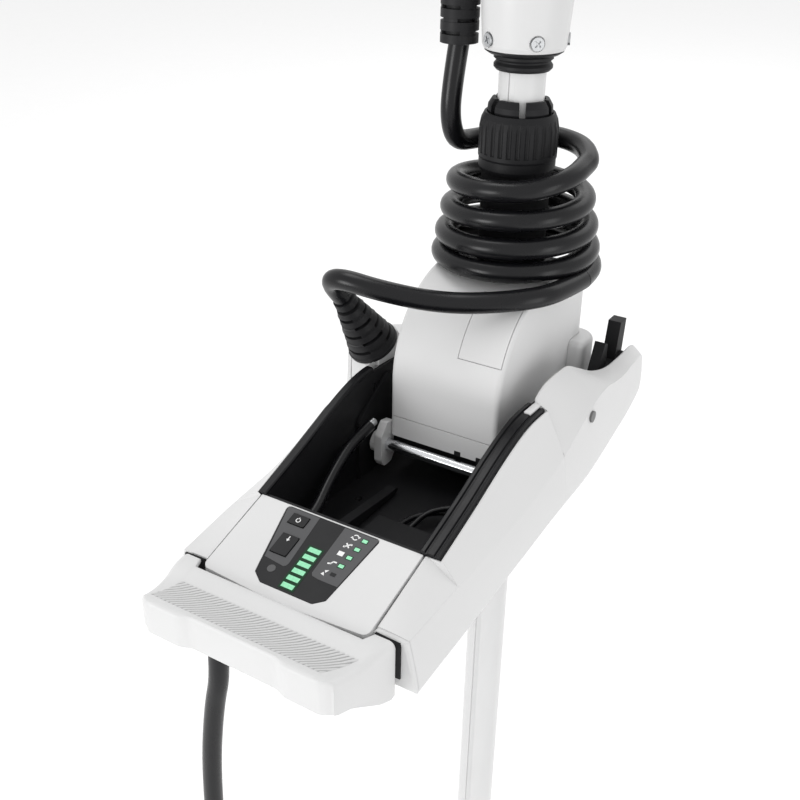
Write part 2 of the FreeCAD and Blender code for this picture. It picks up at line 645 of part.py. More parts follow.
def release_pedal():
    """Foot pedal, hollow beneath, turning down about two pins near the base's aft edge."""
    wall = size("pedal_wall")
    top = size("pedal_top_height")
    outer_plan = prism("pedal_plan", "XY_Plane", polygon(pedal_plan(0.0)), 80.0, at(z=-20.0))
    profile = [(-150.0, top - 3.0), (-162.0, top - 4.0), (-178.0, top - 4.0), (-194.0, top - 1.5),
               (-206.0, top + 1.0), (-215.0, top + 0.5), (-215.0, 15.5), (-190.0, 12.0), (-166.0, -2.0),
               (-156.0, -5.0), (-150.0, -2.0)]
    outer_side = side_prism("pedal_profile", polygon(profile), 95.0)
    outer = common("pedal_outer", outer_plan, outer_side)
    inner_plan = prism("pedal_hollow_plan", "XY_Plane",
                       rounded_polygon([(80.0, -140.0), (75.0, -184.0), (70.0, -203.0), (-70.0, -203.0),
                                        (-75.0, -184.0), (-80.0, -140.0)], 0), 60.0, at(z=-30.0))
    hollow = cut("pedal_hollow", inner_plan,
                 box("pedal_roof", (-100, -230, top - 4.0 - wall), (100, -130, top + 30)))
    blank = cut("pedal_blank", outer, hollow)
    lugs = []
    for side in (1, -1):
        low, high = sorted((side * 45.5, side * 50.5))
        arm = prism("pedal_arm_%d" % (side + 1), "YZ_Plane",
                    polygon([(-142.5, 7.4), (-140.6, 12.0), (-142.5, 17.0), (-161.0, 27.0), (-168.0, 35.5),
                             (-176.0, 35.5), (-166.0, 20.0), (-150.0, 7.4)]), high - low, at(x=low))
        lugs.append(arm)
    bore = cylinder("pedal_bore", at(-70, size("pedal_pivot_y"), size("pedal_pivot_height"), ALONG_X),
                    3.06, 140.0)
    sub_part(cut("pedal_bored", fused("pedal_with_arms", blank, *lugs), bore), "release_pedal")

    pivot = (size("pedal_pivot_y"), size("pedal_pivot_height"))
    pin = cylinder("pedal_pin_blank", at(37.0, pivot[0], pivot[1], ALONG_X), 3.0, 16.0)
    sub_part(both_sides("pedal_pins_pair", pin), "pedal_pins")
    coils = [primitive("Torus", "spring_coil_%d" % index, at(33.6 - 1.7 * index, pivot[0], pivot[1], ALONG_X),
                       Radius1=4.8, Radius2=1.0) for index in range(4)]
    leg = cylinder("spring_leg", at(33.6 - 5.1, pivot[0] - 4.8, pivot[1], about(AXIS_X, 42)), 0.9, 9.0)
    sub_part(fused("spring", leg, *coils), "pedal_spring")

    hook = prism("latch_blank", "YZ_Plane",
                 polygon([(-76.0, 14.6), (-66.0, 14.6), (-58.0, 13.6), (10.0, 14.0), (21.0, 14.0),
                          (23.5, 17.0), (21.0, 19.0), (12.0, 18.6), (-50.0, 24.0), (-60.0, 27.0),
                          (-70.0, 24.0), (-76.0, 19.0)]), 8.0, at(x=-32.0))
    hook_bore = cylinder("latch_bore", at(-40, LATCH_Y, LATCH_Z, ALONG_X), 3.06, 30.0)
    sub_part(cut("latch", hook, hook_bore), "latch_hook")
    pin = cylinder("latch_pin_rod", at(-38.0, LATCH_Y, LATCH_Z, ALONG_X), 3.0, 20.0)
    ears = [box("latch_ear_%d" % index, (x, LATCH_Y - 5, 12.5), (x + 4.5, LATCH_Y + 5, 26.0))
            for index, x in enumerate([-37.5, -22.5])]
    sub_part(fused("latch_mount", pin, *ears), "latch_pin")


LATCH_Y = -60.0
LATCH_Z = 20.0


# ---------------------------------------------------------------- steering housing

def housing_outline(inset, bottom):
    """Side outline of the steering housing: upright front, big front crown, rounded back."""
    front = 47.2 + inset
    back = 197.0 - inset
    top = size("housing_top_height") - inset
    crown = 80.0 - inset
    tail = 34.0 - inset
    slope = sin(pi / 4)
    crown_y, crown_z = front + crown, top - crown
    tail_y, tail_z = back - tail, top - tail
    return [Part.LineSegment(Vector(front, bottom, 0), Vector(front, crown_z, 0)),
            Part.Arc(Vector(front, crown_z, 0),
                     Vector(crown_y - crown * slope, crown_z + crown * slope, 0), Vector(crown_y, top, 0)),
            Part.LineSegment(Vector(crown_y, top, 0), Vector(tail_y, top, 0)),
            Part.Arc(Vector(tail_y, top, 0),
                     Vector(tail_y + tail * slope, tail_z + tail * slope, 0), Vector(back, tail_z, 0)),
            Part.LineSegment(Vector(back, tail_z, 0), Vector(back, bottom, 0)),
            Part.LineSegment(Vector(back, bottom, 0), Vector(front, bottom, 0))]


def housing_block(name, inset, bottom):
    """Rounded solid of the housing, inset all round."""
    half = size("housing_half_width") - inset
    block = side_prism(name + "_block", housing_outline(inset, bottom), half)
    side_edge = on_plane(0, half)

    def wanted(edge):
        return side_edge(edge) and edge.CenterOfMass.z > bottom + 1
    return filleted(name, block, size("housing_edge_radius") - inset, wanted)


def steering_housing():
    wall = size("housing_wall")
    seam = size("housing_seam_height")
    fascia_bottom = 48.0
    column_hole = cylinder("housing_column_hole", at(0, SHAFT_Y, 0), "dims.column_diameter / 2 + 0.7", 220.0)
    outer = housing_block("housing_outer", 0.0, fascia_bottom)
    inner = housing_block("housing_inner", wall, fascia_bottom - 6)
    below_seam = box("below_seam", (-60, 0, 0), (60, 240, seam))
    above_fascia = box("above_fascia", (-60, 0, seam - 0.5), (60, 240, 240))
    behind_fascia = box("behind_fascia", (-60, 118.0, 0), (60, 240, seam))
    window = box("door_window", (8.0, 30.0, 127.0), (44.6, 120.0, 168.0))
    skin = housing_block("housing_skin", 1.4, fascia_bottom - 6)
    door_recess = common("door_recess", cut("door_skin", outer, skin), window)
    sub_part(cut("housing_upper", outer, inner, below_seam, door_recess, column_hole), "housing_shell")
    door_box = box("door_box", (8.4, 30.0, 127.4), (44.2, 120.0, 167.6))
    door_back = housing_block("door_back", 1.3, fascia_bottom - 6)
    sub_part(common("door_panel", cut("door_slab", outer, door_back), door_box), "access_door")
    sub_part(cut("fascia", outer, inner, above_fascia, behind_fascia), "housing_fascia")

    skirt_plan = prism("skirt_plan", "XY_Plane",
                       rounded_polygon([(-60, 172), (60, 172), (60, 207), (-60, 207)], [6, 6, 16, 16]),
                       44.0, at(z=62.0))
    skirt = filleted("skirt_round", skirt_plan, 5.0,
                     lambda edge: abs(edge.BoundBox.ZMin - 106.0) < 0.01)
    clearance = housing_block("skirt_clearance", -0.2, 30.0)
    sub_part(cut("skirt", skirt, clearance), "housing_skirt")

    core = size("housing_half_width") - wall - 0.3
    casing = box("gearbox_block", (-core, 64.0, 26.0), (core, 186.0, 65.6))
    nose_bar = box("gearbox_bar", (-46.9, 53.0, 37.0), (46.9, 65.0, 47.6))
    tube = cylinder("gearbox_tube", at(0, SHAFT_Y, -12.0), 33.0, 40.0)
    bore = cylinder("gearbox_bore", at(0, SHAFT_Y, -30.0),
                    "dims.column_diameter / 2 + dims.running_clearance", 160.0)
    rod_relief = cylinder("gearbox_rod_relief", at(-60, PIVOT_Y, PIVOT_Z, ALONG_X), 6.5, 120.0)
    foot_relief = box("gearbox_foot_relief", (-60, 50.0, 20.0), (60, 70.0, 34.0))
    sub_part(cut("gearbox", fused("gearbox_blank", casing, nose_bar, tube), bore, rod_relief, foot_relief),
             "gearbox_casing")

    motor_y = SHAFT_Y - gear_centres()
    can = cylinder("steering_motor_can", at(0, motor_y, 84.5), 18.0, 58.0)
    flange = box("steering_motor_flange", (-43.3, motor_y - 18, 84.5), (43.3, motor_y + 18, 88.5))
    sub_part(fused("steering_motor_solid", can, flange), "steering_motor")

    x_in, x_out = 47.1, 54.0
    octagon = [(35.0, 28.0), (39.0, 22.0), (49.0, 22.0), (55.0, 29.0), (56.0, 50.0), (54.0, 58.0),
               (44.0, 60.0), (35.0, 50.0)]
    lug = prism("lug_blank", "YZ_Plane", rounded_polygon(octagon, 3.0), x_out - x_in, at(x=x_in))
    boss = cylinder("lug_boss", at(x_out - 0.5, PIVOT_Y, PIVOT_Z, ALONG_X), 9.0, 5.5)
    bore = cylinder("lug_bore", at(40, PIVOT_Y, PIVOT_Z, ALONG_X),
                    "dims.pivot_rod_diameter / 2 + dims.running_clearance", 30.0)
    sub_part(both_sides("lugs", cut("lug", fused("lug_whole", lug, boss), bore)), "pivot_lugs")


# ---------------------------------------------------------------- steering gears and column

def gear_centres():
    return size("gear_module") * (size("gear_teeth") + size("pinion_teeth")) / 2


def gear_outline(teeth, turn):
    """Straight-flanked tooth form with backlash."""
    module = size("gear_module")
    pitch_radius = module * teeth / 2
    tip = pitch_radius + 0.85 * module
    root = pitch_radius - 1.2 * module
    step = 2 * pi / teeth
    points = []
    for index in range(int(teeth)):
        centre = turn + index * step
        for radius, fraction in ((root, -0.36), (tip, -0.12), (tip, 0.12), (root, 0.36)):
            points.append((radius * cos(centre + fraction * step), radius * sin(centre + fraction * step)))
    return polygon(points)


def steering_train():
    """Pinion on the steering motor's shaft, gear and column on the steering axis."""
    gear_z = size("gear_height")
    gear_blank = prism("gear_blank", "XY_Plane", gear_outline(size("gear_teeth"), -pi / 2), "dims.gear_face",
                       at(0, SHAFT_Y, gear_z))
    gear_bore = cylinder("gear_bore", at(0, SHAFT_Y, gear_z - 5), "dims.column_diameter / 2", 30.0)
    sub_part(cut("gear", gear_blank, gear_bore), "steering_gear")
    pinion_y = SHAFT_Y - gear_centres()
    half_tooth = pi / size("pinion_teeth")
    pinion = prism("pinion_blank", "XY_Plane", gear_outline(size("pinion_teeth"), pi / 2 + half_tooth),
                   "dims.gear_face", at(0, pinion_y, gear_z))
    stub = cylinder("pinion_shaft", at(0, pinion_y, 66.2), 4.0, 18.0)
    sub_part(fused("pinion", pinion, stub), "steering_pinion")

    sleeve = cylinder("column_sleeve", at(0, SHAFT_Y, size("column_bottom")), "dims.column_diameter / 2",
                      "dims.column_top - dims.column_bottom")
    collar = cylinder("column_collar", at(0, SHAFT_Y, size("column_bottom")), 31.0, 6.0)
    bore = shaft_bore("column_bore", size("column_bottom") - 5, size("column_top") + 5)
    sub_part(cut("column", fused("column_blank", sleeve, collar), bore), "steering_column")

    collet = turned("collet_blank", [(17.9, 0.2), (23.6, 0.2), (23.6, 38.0), (24.6, 41.0), (24.2, 45.0),
                                     (21.4, 49.5), (18.4, 49.5), (17.9, 40.0)],
                    at(0, SHAFT_Y, size("column_top")))
    slits = [primitive("Box", "collet_slit_%d" % index,
                       Placement(Vector(0, SHAFT_Y, 274.0), about(AXIS_Z, 60 * index - 120)).multiply(
                           at(12.0, -2.5, 0)), Length=20.0, Width=5.0, Height=30.0) for index in range(6)]
    sub_part(cut("collet", collet, *slits), "depth_collet")

    base, top = size("knob_bottom"), size("knob_top")
    radius = size("knob_radius")
    knob = turned("knob_blank", [(23.9, 0.0), (27.0, 0.0), (27.0, -9.0), (28.4, -9.0), (radius - 0.6, -6.0),
                                 (radius - 0.6, 0.5), (radius, 2.0), (radius, 24.0), (radius - 1.2, 30.0),
                                 (radius - 3.4, top - base), (25.0, top - base), (23.9, 32.0)],
                  at(0, SHAFT_Y, base))
    flutes = []
    for index in range(28):
        angle = index * pi / 14
        reach = radius + 0.4
        flutes.append(cylinder("knob_flute_%d" % index,
                               at(reach * cos(angle), SHAFT_Y + reach * sin(angle), base + 5.0), 1.9, 40.0))
    sub_part(cut("knob_fluted", knob, *flutes), "depth_knob")


def shaft_bore(name, low, high):
    """Bore that fits the shaft, with the key that runs in its groove left standing."""
    bore = cylinder(name + "_round", at(0, SHAFT_Y, low),
                    "dims.shaft_diameter / 2 + dims.running_clearance", high - low)
    key_half = size("shaft_groove_width") / 2 - 0.25
    radius = size("shaft_diameter") / 2
    key = box(name + "_key", (-key_half, SHAFT_Y - radius - 1, low - 1),
              (key_half, SHAFT_Y - radius + size("shaft_groove_depth") - 0.3, high + 1))
    return cut(name, bore, key)


# ---------------------------------------------------------------- shaft, head and lower unit

POD_Z = -size("pod_axis_drop")


def shaft_and_head():
    head_z = size("head_base_height")
    radius = size("shaft_diameter") / 2
    foot = POD_Z + size("pod_radius") - 4
    tube = cylinder("shaft_outer", at(0, SHAFT_Y, foot), "dims.shaft_diameter / 2", head_z + 40 - foot)
    bore = cylinder("shaft_inner", at(0, SHAFT_Y, foot - 1),
                    "dims.shaft_diameter / 2 - dims.shaft_wall", head_z + 42 - foot)
    half = size("shaft_groove_width") / 2
    groove = box("shaft_groove", (-half, SHAFT_Y - radius - 1, foot + 40),
                 (half, SHAFT_Y - radius + size("shaft_groove_depth"), head_z))
    sub_part(cut("shaft", tube, bore, groove), "shaft_tube")

    rings = [(radius + 0.02, -15.0), (20.0, -15.0), (21.8, -13.0), (21.8, -11.0), (20.2, -9.0),
             (20.2, -8.0), (22.0, -6.5), (22.0, -4.5), (20.5, -3.2), (26.0, -3.2), (29.0, -1.2),
             (29.0, 0.0), (radius + 0.02, 0.0)]
    sub_part(turned("gasket", rings, at(0, SHAFT_Y, head_z)), "head_gasket")

    lower = turned("head_cup_blank",
                   [(radius + 0.02, 0.0), (29.6, 0.0), (31.0, 3.0), (33.0, 32.0), (34.5, 60.0),
                    (30.5, 60.0), (29.0, 32.0), (27.5, 6.0), (radius + 0.02, 6.0)], at(0, SHAFT_Y, head_z))
    notches = []
    screws = []
    for index in range(5):
        angle = radians(-120 + 72 * index)
        outward = Vector(cos(angle), sin(angle), 0)
        turn = Rotation(Vector(0, 0, 1), outward)
        centre = Vector(0, SHAFT_Y, head_z + 7.5)
        notches.append(cylinder("head_notch_%d" % index, Placement(centre + outward * 29.9, turn), 5.6, 9.0))
        pan = cylinder("screw_pan_%d" % index, Placement(centre + outward * 29.95, turn), 4.7, 2.6)
        recess = []
        for arm in (0, 1):
            place = Placement(centre + outward * 31.4, turn.multiply(about(AXIS_Z, 90 * arm)))
            recess.append(primitive("Box", "screw_cross_%d_%d" % (index, arm),
                                    place.multiply(at(-2.8, -0.6, 0)), Length=5.6, Width=1.2, Height=3.0))
        screws.append(cut("head_screw_%d" % index, pan, *recess))
    sub_part(cut("head_lower", lower, *notches), "head_cup")
    sub_part(group("head_screw_ring", *screws), "head_screws")

    head_low = head_z + 60.3
    centre = Vector(-9.0, SHAFT_Y + 2.0, 0)

    def oval(half_x, half_y, z, offset):
        ellipse = Part.Ellipse(Vector(0, 0, 0), max(half_x, half_y), min(half_x, half_y)).toShape()
        if half_y > half_x:
            ellipse.rotate(Vector(0, 0, 0), Vector(0, 0, 1), 90)
        ellipse.translate(Vector(centre.x * offset, SHAFT_Y + (centre.y - SHAFT_Y) * offset, z))
        return Part.Wire([ellipse])

    def bowl(thickness):
        return Part.makeLoft([oval(35.5 - thickness, 35.0 - thickness, head_low, 0.0),
                              oval(48.0 - thickness, 46.0 - thickness, head_low + 12, 0.5),
                              oval(62.0 - thickness, 56.0 - thickness, head_low + 30, 1.0),
                              oval(64.0 - thickness, 58.0 - thickness, head_low + 66, 1.0)], True, False)
    shell = bowl(0.0)
    hollow = bowl(3.0)
    hollow.translate(Vector(0, 0, 3.0))
    shaft_hole = Part.makeCylinder(30.0, 20.0, Vector(0, SHAFT_Y, head_low - 5))
    boot_hole = Part.makeCylinder(15.8, 90.0, Vector(LEAD_X, LEAD_Y, HEAD_BOOT_Z))
    sub_part(raw("head_body_shape", shell.cut(hollow).cut(shaft_hole).cut(boot_hole)), "head_body")
    cap_low = head_low + 66.3
    cap = Part.makeLoft([oval(64.0, 58.0, cap_low, 1.0), oval(63.0, 57.0, cap_low + 8, 1.0),
                         oval(57.0, 51.0, cap_low + 17, 1.0), oval(44.0, 39.0, cap_low + 23, 1.0)],
                        True, False)
    cap_hollow = Part.makeLoft([oval(60.5, 54.5, cap_low - 1, 1.0), oval(59.0, 53.0, cap_low + 7, 1.0),
                                oval(53.0, 47.0, cap_low + 14, 1.0), oval(41.0, 36.0, cap_low + 19.5, 1.0)],
                               True, False)
    sub_part(raw("head_cap_shape", cap.cut(cap_hollow)), "head_cap")
    sub_part(cylinder("head_board_disc", at(centre.x, centre.y, head_low + 40), 40.0, 1.6), "head_board")

    outline = [(0.0, 0.0), (10.0, 0.0)]
    for index in range(8):
        z = index * 9.0
        ring_radius = 14.4 + 0.1 * index
        outline += [(ring_radius, z), (ring_radius, z + 6.4), (11.6, z + 6.4), (11.6, z + 9.0)]
    outline += [(15.4, 72.0), (15.4, 78.0), (0.0, 78.0)]
    sub_part(turned("head_boot_body", outline, at(LEAD_X, LEAD_Y, HEAD_BOOT_Z)), "head_boot")


LEAD_X = -51.0
LEAD_Y = 144.0
HEAD_BOOT_Z = 337.0


def lower_unit():
    """Brushless pod below the shaft, with stator, rotor, skeg and a three-blade propeller."""
    radius = size("pod_radius")
    aft = ALONG_Y
    pod_place = at(0, SHAFT_Y, POD_Z, aft)
    outer = [(0.0, -112.0), (27.0, -112.0), (31.0, -108.0), (40.0, -92.0), (radius, -66.0), (radius, 96.0),
             (44.0, 118.0), (38.0, 142.0), (28.0, 163.0), (15.0, 178.0), (0.0, 184.0)]
    hollow = [(0.0, -100.0), (20.0, -100.0), (32.0, -92.0), (radius - 4, -64.0), (radius - 4, 96.0),
              (0.0, 96.0)]
    body = turned("pod_outer", outer, pod_place)
    cavity = turned("pod_cavity", hollow, pod_place)
    neck = turned("pod_neck", [(17.6, 0.0), (23.0, 0.0), (21.0, 26.0), (19.4, 44.0), (17.6, 44.0)],
                  at(0, SHAFT_Y, POD_Z + radius - 6))
    shaft_seat = cylinder("pod_shaft_seat", at(0, SHAFT_Y, POD_Z + radius - 5), 17.55, 40.0)
    prop_bore = cylinder("pod_prop_bore", at(0, SHAFT_Y - 90, POD_Z, about(AXIS_X, 90)), 6.06, 40.0)
    sub_part(cut("pod", fused("pod_blank", body, neck), cavity, shaft_seat, prop_bore), "motor_pod")
    stator = turned("stator_ring", [(26.0, -40.0), (radius - 4.1, -40.0), (radius - 4.1, 70.0), (26.0, 70.0)],
                    pod_place)
    sub_part(stator, "motor_stator")
    fin = prism("skeg_blank", "YZ_Plane",
                rounded_polygon([(SHAFT_Y - 58, POD_Z - 43.0), (SHAFT_Y + 74, POD_Z - 43.0),
                                 (SHAFT_Y - 4, POD_Z - 152.0), (SHAFT_Y - 44, POD_Z - 156.0)],
                                [0, 0, 14, 10]), 6.0, at(x=-3.0))
    sub_part(cut("skeg", fin, cylinder("skeg_seat", at(0, SHAFT_Y - 120, POD_Z, aft),
                                       "dims.pod_radius", 300.0)), "skeg")

    rotor = turned("rotor_blank", [(0.0, -166.0), (6.0, -166.0), (6.0, -38.0), (25.3, -38.0), (25.3, 68.0),
                                   (6.0, 68.0), (6.0, 84.0), (0.0, 84.0)], pod_place)
    sub_part(rotor, "rotor_shaft")
    hub = turned("prop_hub", [(6.0, -150.0), (22.0, -150.0), (27.0, -142.0), (29.0, -114.0), (6.0, -114.0)],
                 pod_place)
    doc.recompute()
    blades = [propeller_blade(index * 120.0) for index in range(3)]
    propeller = hub.Shape.copy()
    for blade in blades:
        propeller = propeller.fuse(blade)
    bore = Part.makeCylinder(6.0, 60.0, Vector(0, SHAFT_Y - 160, POD_Z), Vector(0, 1, 0))
    sub_part(raw("propeller_shape", propeller.cut(bore).removeSplitter()), "propeller")
    nut = turned("prop_nut_blank", [(6.0, -160.0), (11.0, -160.0), (13.0, -158.0), (13.0, -150.2),
                                    (6.0, -150.2)], pod_place)
    sub_part(nut, "prop_nut")


def propeller_blade(turn):
    """One swept, twisted blade, lofted outward through thin pointed sections."""
    sections = []
    tip = size("propeller_radius")
    for fraction, chord, pitch, thickness in ((0.13, 34.0, 62.0, 5.0), (0.4, 62.0, 42.0, 4.4),
                                              (0.75, 66.0, 27.0, 3.4), (1.0, 34.0, 20.0, 2.2)):
        radius = tip * fraction
        half = chord / 2
        sweep = 14.0 * fraction
        flat = [(-half, 0.0), (-half * 0.5, thickness / 2), (half * 0.4, thickness / 2), (half, 0.0),
                (half * 0.4, -thickness / 2), (-half * 0.5, -thickness / 2)]
        corners = []
        for along, across in flat:
            angle = radians(pitch)
            x = along * cos(angle) - across * sin(angle) - sweep
            y = along * sin(angle) + across * cos(angle)
            corners.append(Vector(x, y, radius))
        sections.append(Part.makePolygon(corners + corners[:1]))
    blade = Part.makeLoft(sections, True, True)
    blade.rotate(Vector(0, 0, 0), Vector(0, 1, 0), turn)
    blade.translate(Vector(0, SHAFT_Y - 132, POD_Z))
    return blade


# ---------------------------------------------------------------- cords

LEAD_ROUTE = [(-90.8, 46.2, 156.4), (-95.5, 33.9, 172.0), (-78.0, 24.0, 182.0), (-47.0, 31.0, 176.5),
              (-12.0, 50.0, 169.0), (22.0, 65.0, 170.5), (53.5, 90.0, 173.5), (62.5, 118.0, 173.5),
              (62.5, 144.0, 174.5)]
UPPER_LEAD_ROUTE = [(LEAD_X, LEAD_Y, HEAD_BOOT_Z - 1.0), (LEAD_X - 3.0, LEAD_Y - 2.0, 308.0),
                    (LEAD_X - 4.5, LEAD_Y - 2.0, 281.0), (LEAD_X - 3.0, LEAD_Y + 6.0, 261.5),
                    (LEAD_X + 3.0, LEAD_Y + 25.0, 258.0), (LEAD_X + 20.0, LEAD_Y + 46.0, 263.0),
                    (LEAD_X + 52.0, LEAD_Y + 58.0, 264.0), (LEAD_X + 83.0, LEAD_Y + 46.0, 263.0),
                    (LEAD_X + 102.0, LEAD_Y + 18.0, 256.0)]
POWER_ROUTE = [(GLAND_X, GLAND_Y, -18.0), (GLAND_X + 1.5, GLAND_Y, -58.0),
               (GLAND_X - 9.0, GLAND_Y, -100.0), (GLAND_X - 17.0, GLAND_Y - 1.0, -170.0),
               (GLAND_X - 21.0, GLAND_Y + 2.0, -300.0), (GLAND_X - 18.0, GLAND_Y, -500.0),
               (GLAND_X - 19.0, GLAND_Y + 1.0, -690.0), (GLAND_X - 20.0, GLAND_Y, -870.0)]


def cords():
    """Coiled motor cable between the boots, and the power cable that hangs below the base."""
    cable = size("cable_diameter")
    sub_part(raw("lead_shape", tube_along(LEAD_ROUTE, cable, "mount_lead")), "mount_lead")
    sub_part(raw("upper_lead_shape", tube_along(UPPER_LEAD_ROUTE, cable, "head_lead")), "head_lead")
    lower = turned("coil_lower_ring",
                   [(51.0, 177.0), (67.0, 177.0), (66.6, 192.0), (64.6, 210.0), (48.6, 210.0)],
                   at(0, SHAFT_Y, 0))
    sub_part(lower, "coil_lower")
    upper = turned("coil_upper_ring", [(44.6, 215.0), (60.6, 215.0), (56.6, 252.0), (40.6, 252.0)],
                   at(0, SHAFT_Y, 0))
    sub_part(upper, "coil_upper")

    diameter = size("power_cable_diameter")
    inside = diameter / 2
    gland = turned("gland_body", [(inside, -18.0), (inside + 2, -18.0), (inside + 4, -4.0),
                                  (inside + 4, 3.9), (inside, 3.9)], at(GLAND_X, GLAND_Y, 0))
    sub_part(gland, "power_gland")
    sub_part(raw("power_cable_shape", tube_along(POWER_ROUTE, diameter, "power_cable")), "power_cable")
    end = Vector(*POWER_ROUTE[-1])
    direction = (end - Vector(*POWER_ROUTE[-2])).normalize()
    plug = turned("power_plug_body", [(0.0, 0.1), (12.0, 0.1), (14.0, 12.0), (14.0, 38.0), (17.0, 40.0),
                                      (17.0, 62.0), (15.0, 66.0), (0.0, 66.0)],
                  Placement(end, Rotation(Vector(0, 0, 1), direction)))
    sub_part(plug, "power_plug")


def write_parts():
    """Recompute, check every object and sub-part, and write one STEP per node."""
    doc.recompute()
    for obj in doc.Objects:
        bad = [state for state in obj.State if state in ("Invalid", "Error")]
        if bad:
            raise RuntimeError("%s (%s) is %s" % (obj.Name, obj.Label, bad))
    os.makedirs("parts", exist_ok=True)
    written = []
    for feature in SUB_PARTS:
        shape = feature.Shape
        if shape.isNull() or not shape.isValid() or not shape.Solids:
            raise RuntimeError("%s has no valid solid" % feature.Label)
        if feature.Label in written:
            raise RuntimeError("two sub-parts are named %s" % feature.Label)
        shape.exportStep("parts/%s.step" % feature.Label)
        written.append(feature.Label)
    print("%d sub-parts written" % len(SUB_PARTS))


base_frame()
deck_isolators()
tray_liner()
side_covers()
control_panel()
bay_fittings()
release_pedal()
steering_housing()
steering_train()
shaft_and_head()
lower_unit()
cords()
write_parts()
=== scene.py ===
"""Bow-mount trolling motor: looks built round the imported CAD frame, in metres."""
import json
from math import atan, cos, pi, radians, sin

import bmesh
import bpy
from mathutils import Matrix, Vector


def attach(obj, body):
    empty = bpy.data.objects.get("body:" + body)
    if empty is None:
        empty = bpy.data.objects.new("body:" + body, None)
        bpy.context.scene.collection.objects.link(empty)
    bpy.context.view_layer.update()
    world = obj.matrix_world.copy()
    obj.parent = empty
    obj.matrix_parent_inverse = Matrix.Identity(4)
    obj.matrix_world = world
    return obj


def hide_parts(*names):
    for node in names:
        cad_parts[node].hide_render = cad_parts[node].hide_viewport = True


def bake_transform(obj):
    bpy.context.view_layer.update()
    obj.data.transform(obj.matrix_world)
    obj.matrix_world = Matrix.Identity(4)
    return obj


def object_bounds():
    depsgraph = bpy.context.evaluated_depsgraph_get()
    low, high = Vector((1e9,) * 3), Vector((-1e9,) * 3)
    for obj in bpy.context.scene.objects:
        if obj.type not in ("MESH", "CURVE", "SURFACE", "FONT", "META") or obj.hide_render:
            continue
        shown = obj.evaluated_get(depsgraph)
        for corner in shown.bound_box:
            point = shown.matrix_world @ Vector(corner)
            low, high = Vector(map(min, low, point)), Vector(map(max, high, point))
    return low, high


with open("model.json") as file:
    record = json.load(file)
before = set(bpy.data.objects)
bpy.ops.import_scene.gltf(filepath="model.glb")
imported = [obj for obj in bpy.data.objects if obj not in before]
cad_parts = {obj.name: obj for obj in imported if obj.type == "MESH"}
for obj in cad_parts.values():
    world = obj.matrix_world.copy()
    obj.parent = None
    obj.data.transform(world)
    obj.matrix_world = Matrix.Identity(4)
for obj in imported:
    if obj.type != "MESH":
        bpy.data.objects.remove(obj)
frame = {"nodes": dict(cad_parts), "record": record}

cad_low, cad_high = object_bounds()
NODES = frame["nodes"]
MM = 0.001


def mm(*numbers):
    return Vector(numbers) * MM


# ---------------------------------------------------------------- camera

CAMERA_PLACE = (346.6, -578.8, 468.8)
CAMERA_TURN = {"azimuth": 31.57, "elevation": 27.81, "roll": 0.94}
SENSOR_WIDTH = 36.0
LENS = 47.7


def add_camera():
    """Studio camera above the starboard quarter, looking down and forward to port."""
    azimuth, elevation, roll = (radians(CAMERA_TURN[turn]) for turn in ("azimuth", "elevation", "roll"))
    level = Vector((-sin(azimuth), cos(azimuth), 0))
    across = Vector((cos(azimuth), sin(azimuth), 0))
    forward = level * cos(elevation) - Vector((0, 0, sin(elevation)))
    upward = level * sin(elevation) + Vector((0, 0, cos(elevation)))
    right = across * cos(roll) + upward * sin(roll)
    up = upward * cos(roll) - across * sin(roll)
    data = bpy.data.cameras.new("camera")
    data.sensor_width = SENSOR_WIDTH
    data.lens = LENS
    camera = bpy.data.objects.new("camera", data)
    axes = Matrix((right, up, -forward)).transposed().to_4x4()
    camera.matrix_world = Matrix.Translation(mm(*CAMERA_PLACE)) @ axes
    bpy.context.scene.collection.objects.link(camera)
    bpy.context.scene.camera = camera


add_camera()


# ---------------------------------------------------------------- mesh helpers

def add_object(name, data, material=None):
    piece = bpy.data.objects.new(name, data)
    bpy.context.scene.collection.objects.link(piece)
    if material:
        data.materials.append(material)
    return piece


def mesh_piece(name, points, faces, material=None, smooth=True):
    """Object from points in metres and faces; normals are made to face outward."""
    mesh = bpy.data.meshes.new(name)
    mesh.from_pydata([tuple(point) for point in points], [], faces)
    tidy = bmesh.new()
    tidy.from_mesh(mesh)
    bmesh.ops.remove_doubles(tidy, verts=tidy.verts, dist=1e-6)
    bmesh.ops.recalc_face_normals(tidy, faces=tidy.faces)
    tidy.to_mesh(mesh)
    tidy.free()
    for face in mesh.polygons:
        face.use_smooth = smooth
    return add_object(name, mesh, material)


def rows_piece(name, rows, material, closed=True, capped=True):
    """Skin over rows of points, each row a ring (closed) or an open line."""
    count = len(rows[0])
    points = [point for row in rows for point in row]
    faces = []
    for i in range(len(rows) - 1):
        for j in range(count if closed else count - 1):
            k = (j + 1) % count
            faces.append((i * count + j, i * count + k, (i + 1) * count + k, (i + 1) * count + j))
    if capped:
        last = (len(rows) - 1) * count
        faces.append(tuple(range(count)))
        faces.append(tuple(range(last, last + count)))
    return mesh_piece(name, points, faces, material)


def crisp(piece, angle=35.0):
    """Smooth shading with hard edges where faces meet at more than the angle."""
    mesh = piece.data
    work = bmesh.new()
    work.from_mesh(mesh)
    for edge in work.edges:
        edge.smooth = len(edge.link_faces) != 2 or edge.calc_face_angle(0.0) < radians(angle)
    work.to_mesh(mesh)
    work.free()
    return piece


def rounded_edges(piece, width, angle=30.0, segments=3):
    bevel = piece.modifiers.new("rounded edges", "BEVEL")
    bevel.width = width * MM
    bevel.segments = segments
    bevel.limit_method = "ANGLE"
    bevel.angle_limit = radians(angle)
    bevel.harden_normals = True
    return piece


# ---------------------------------------------------------------- cords

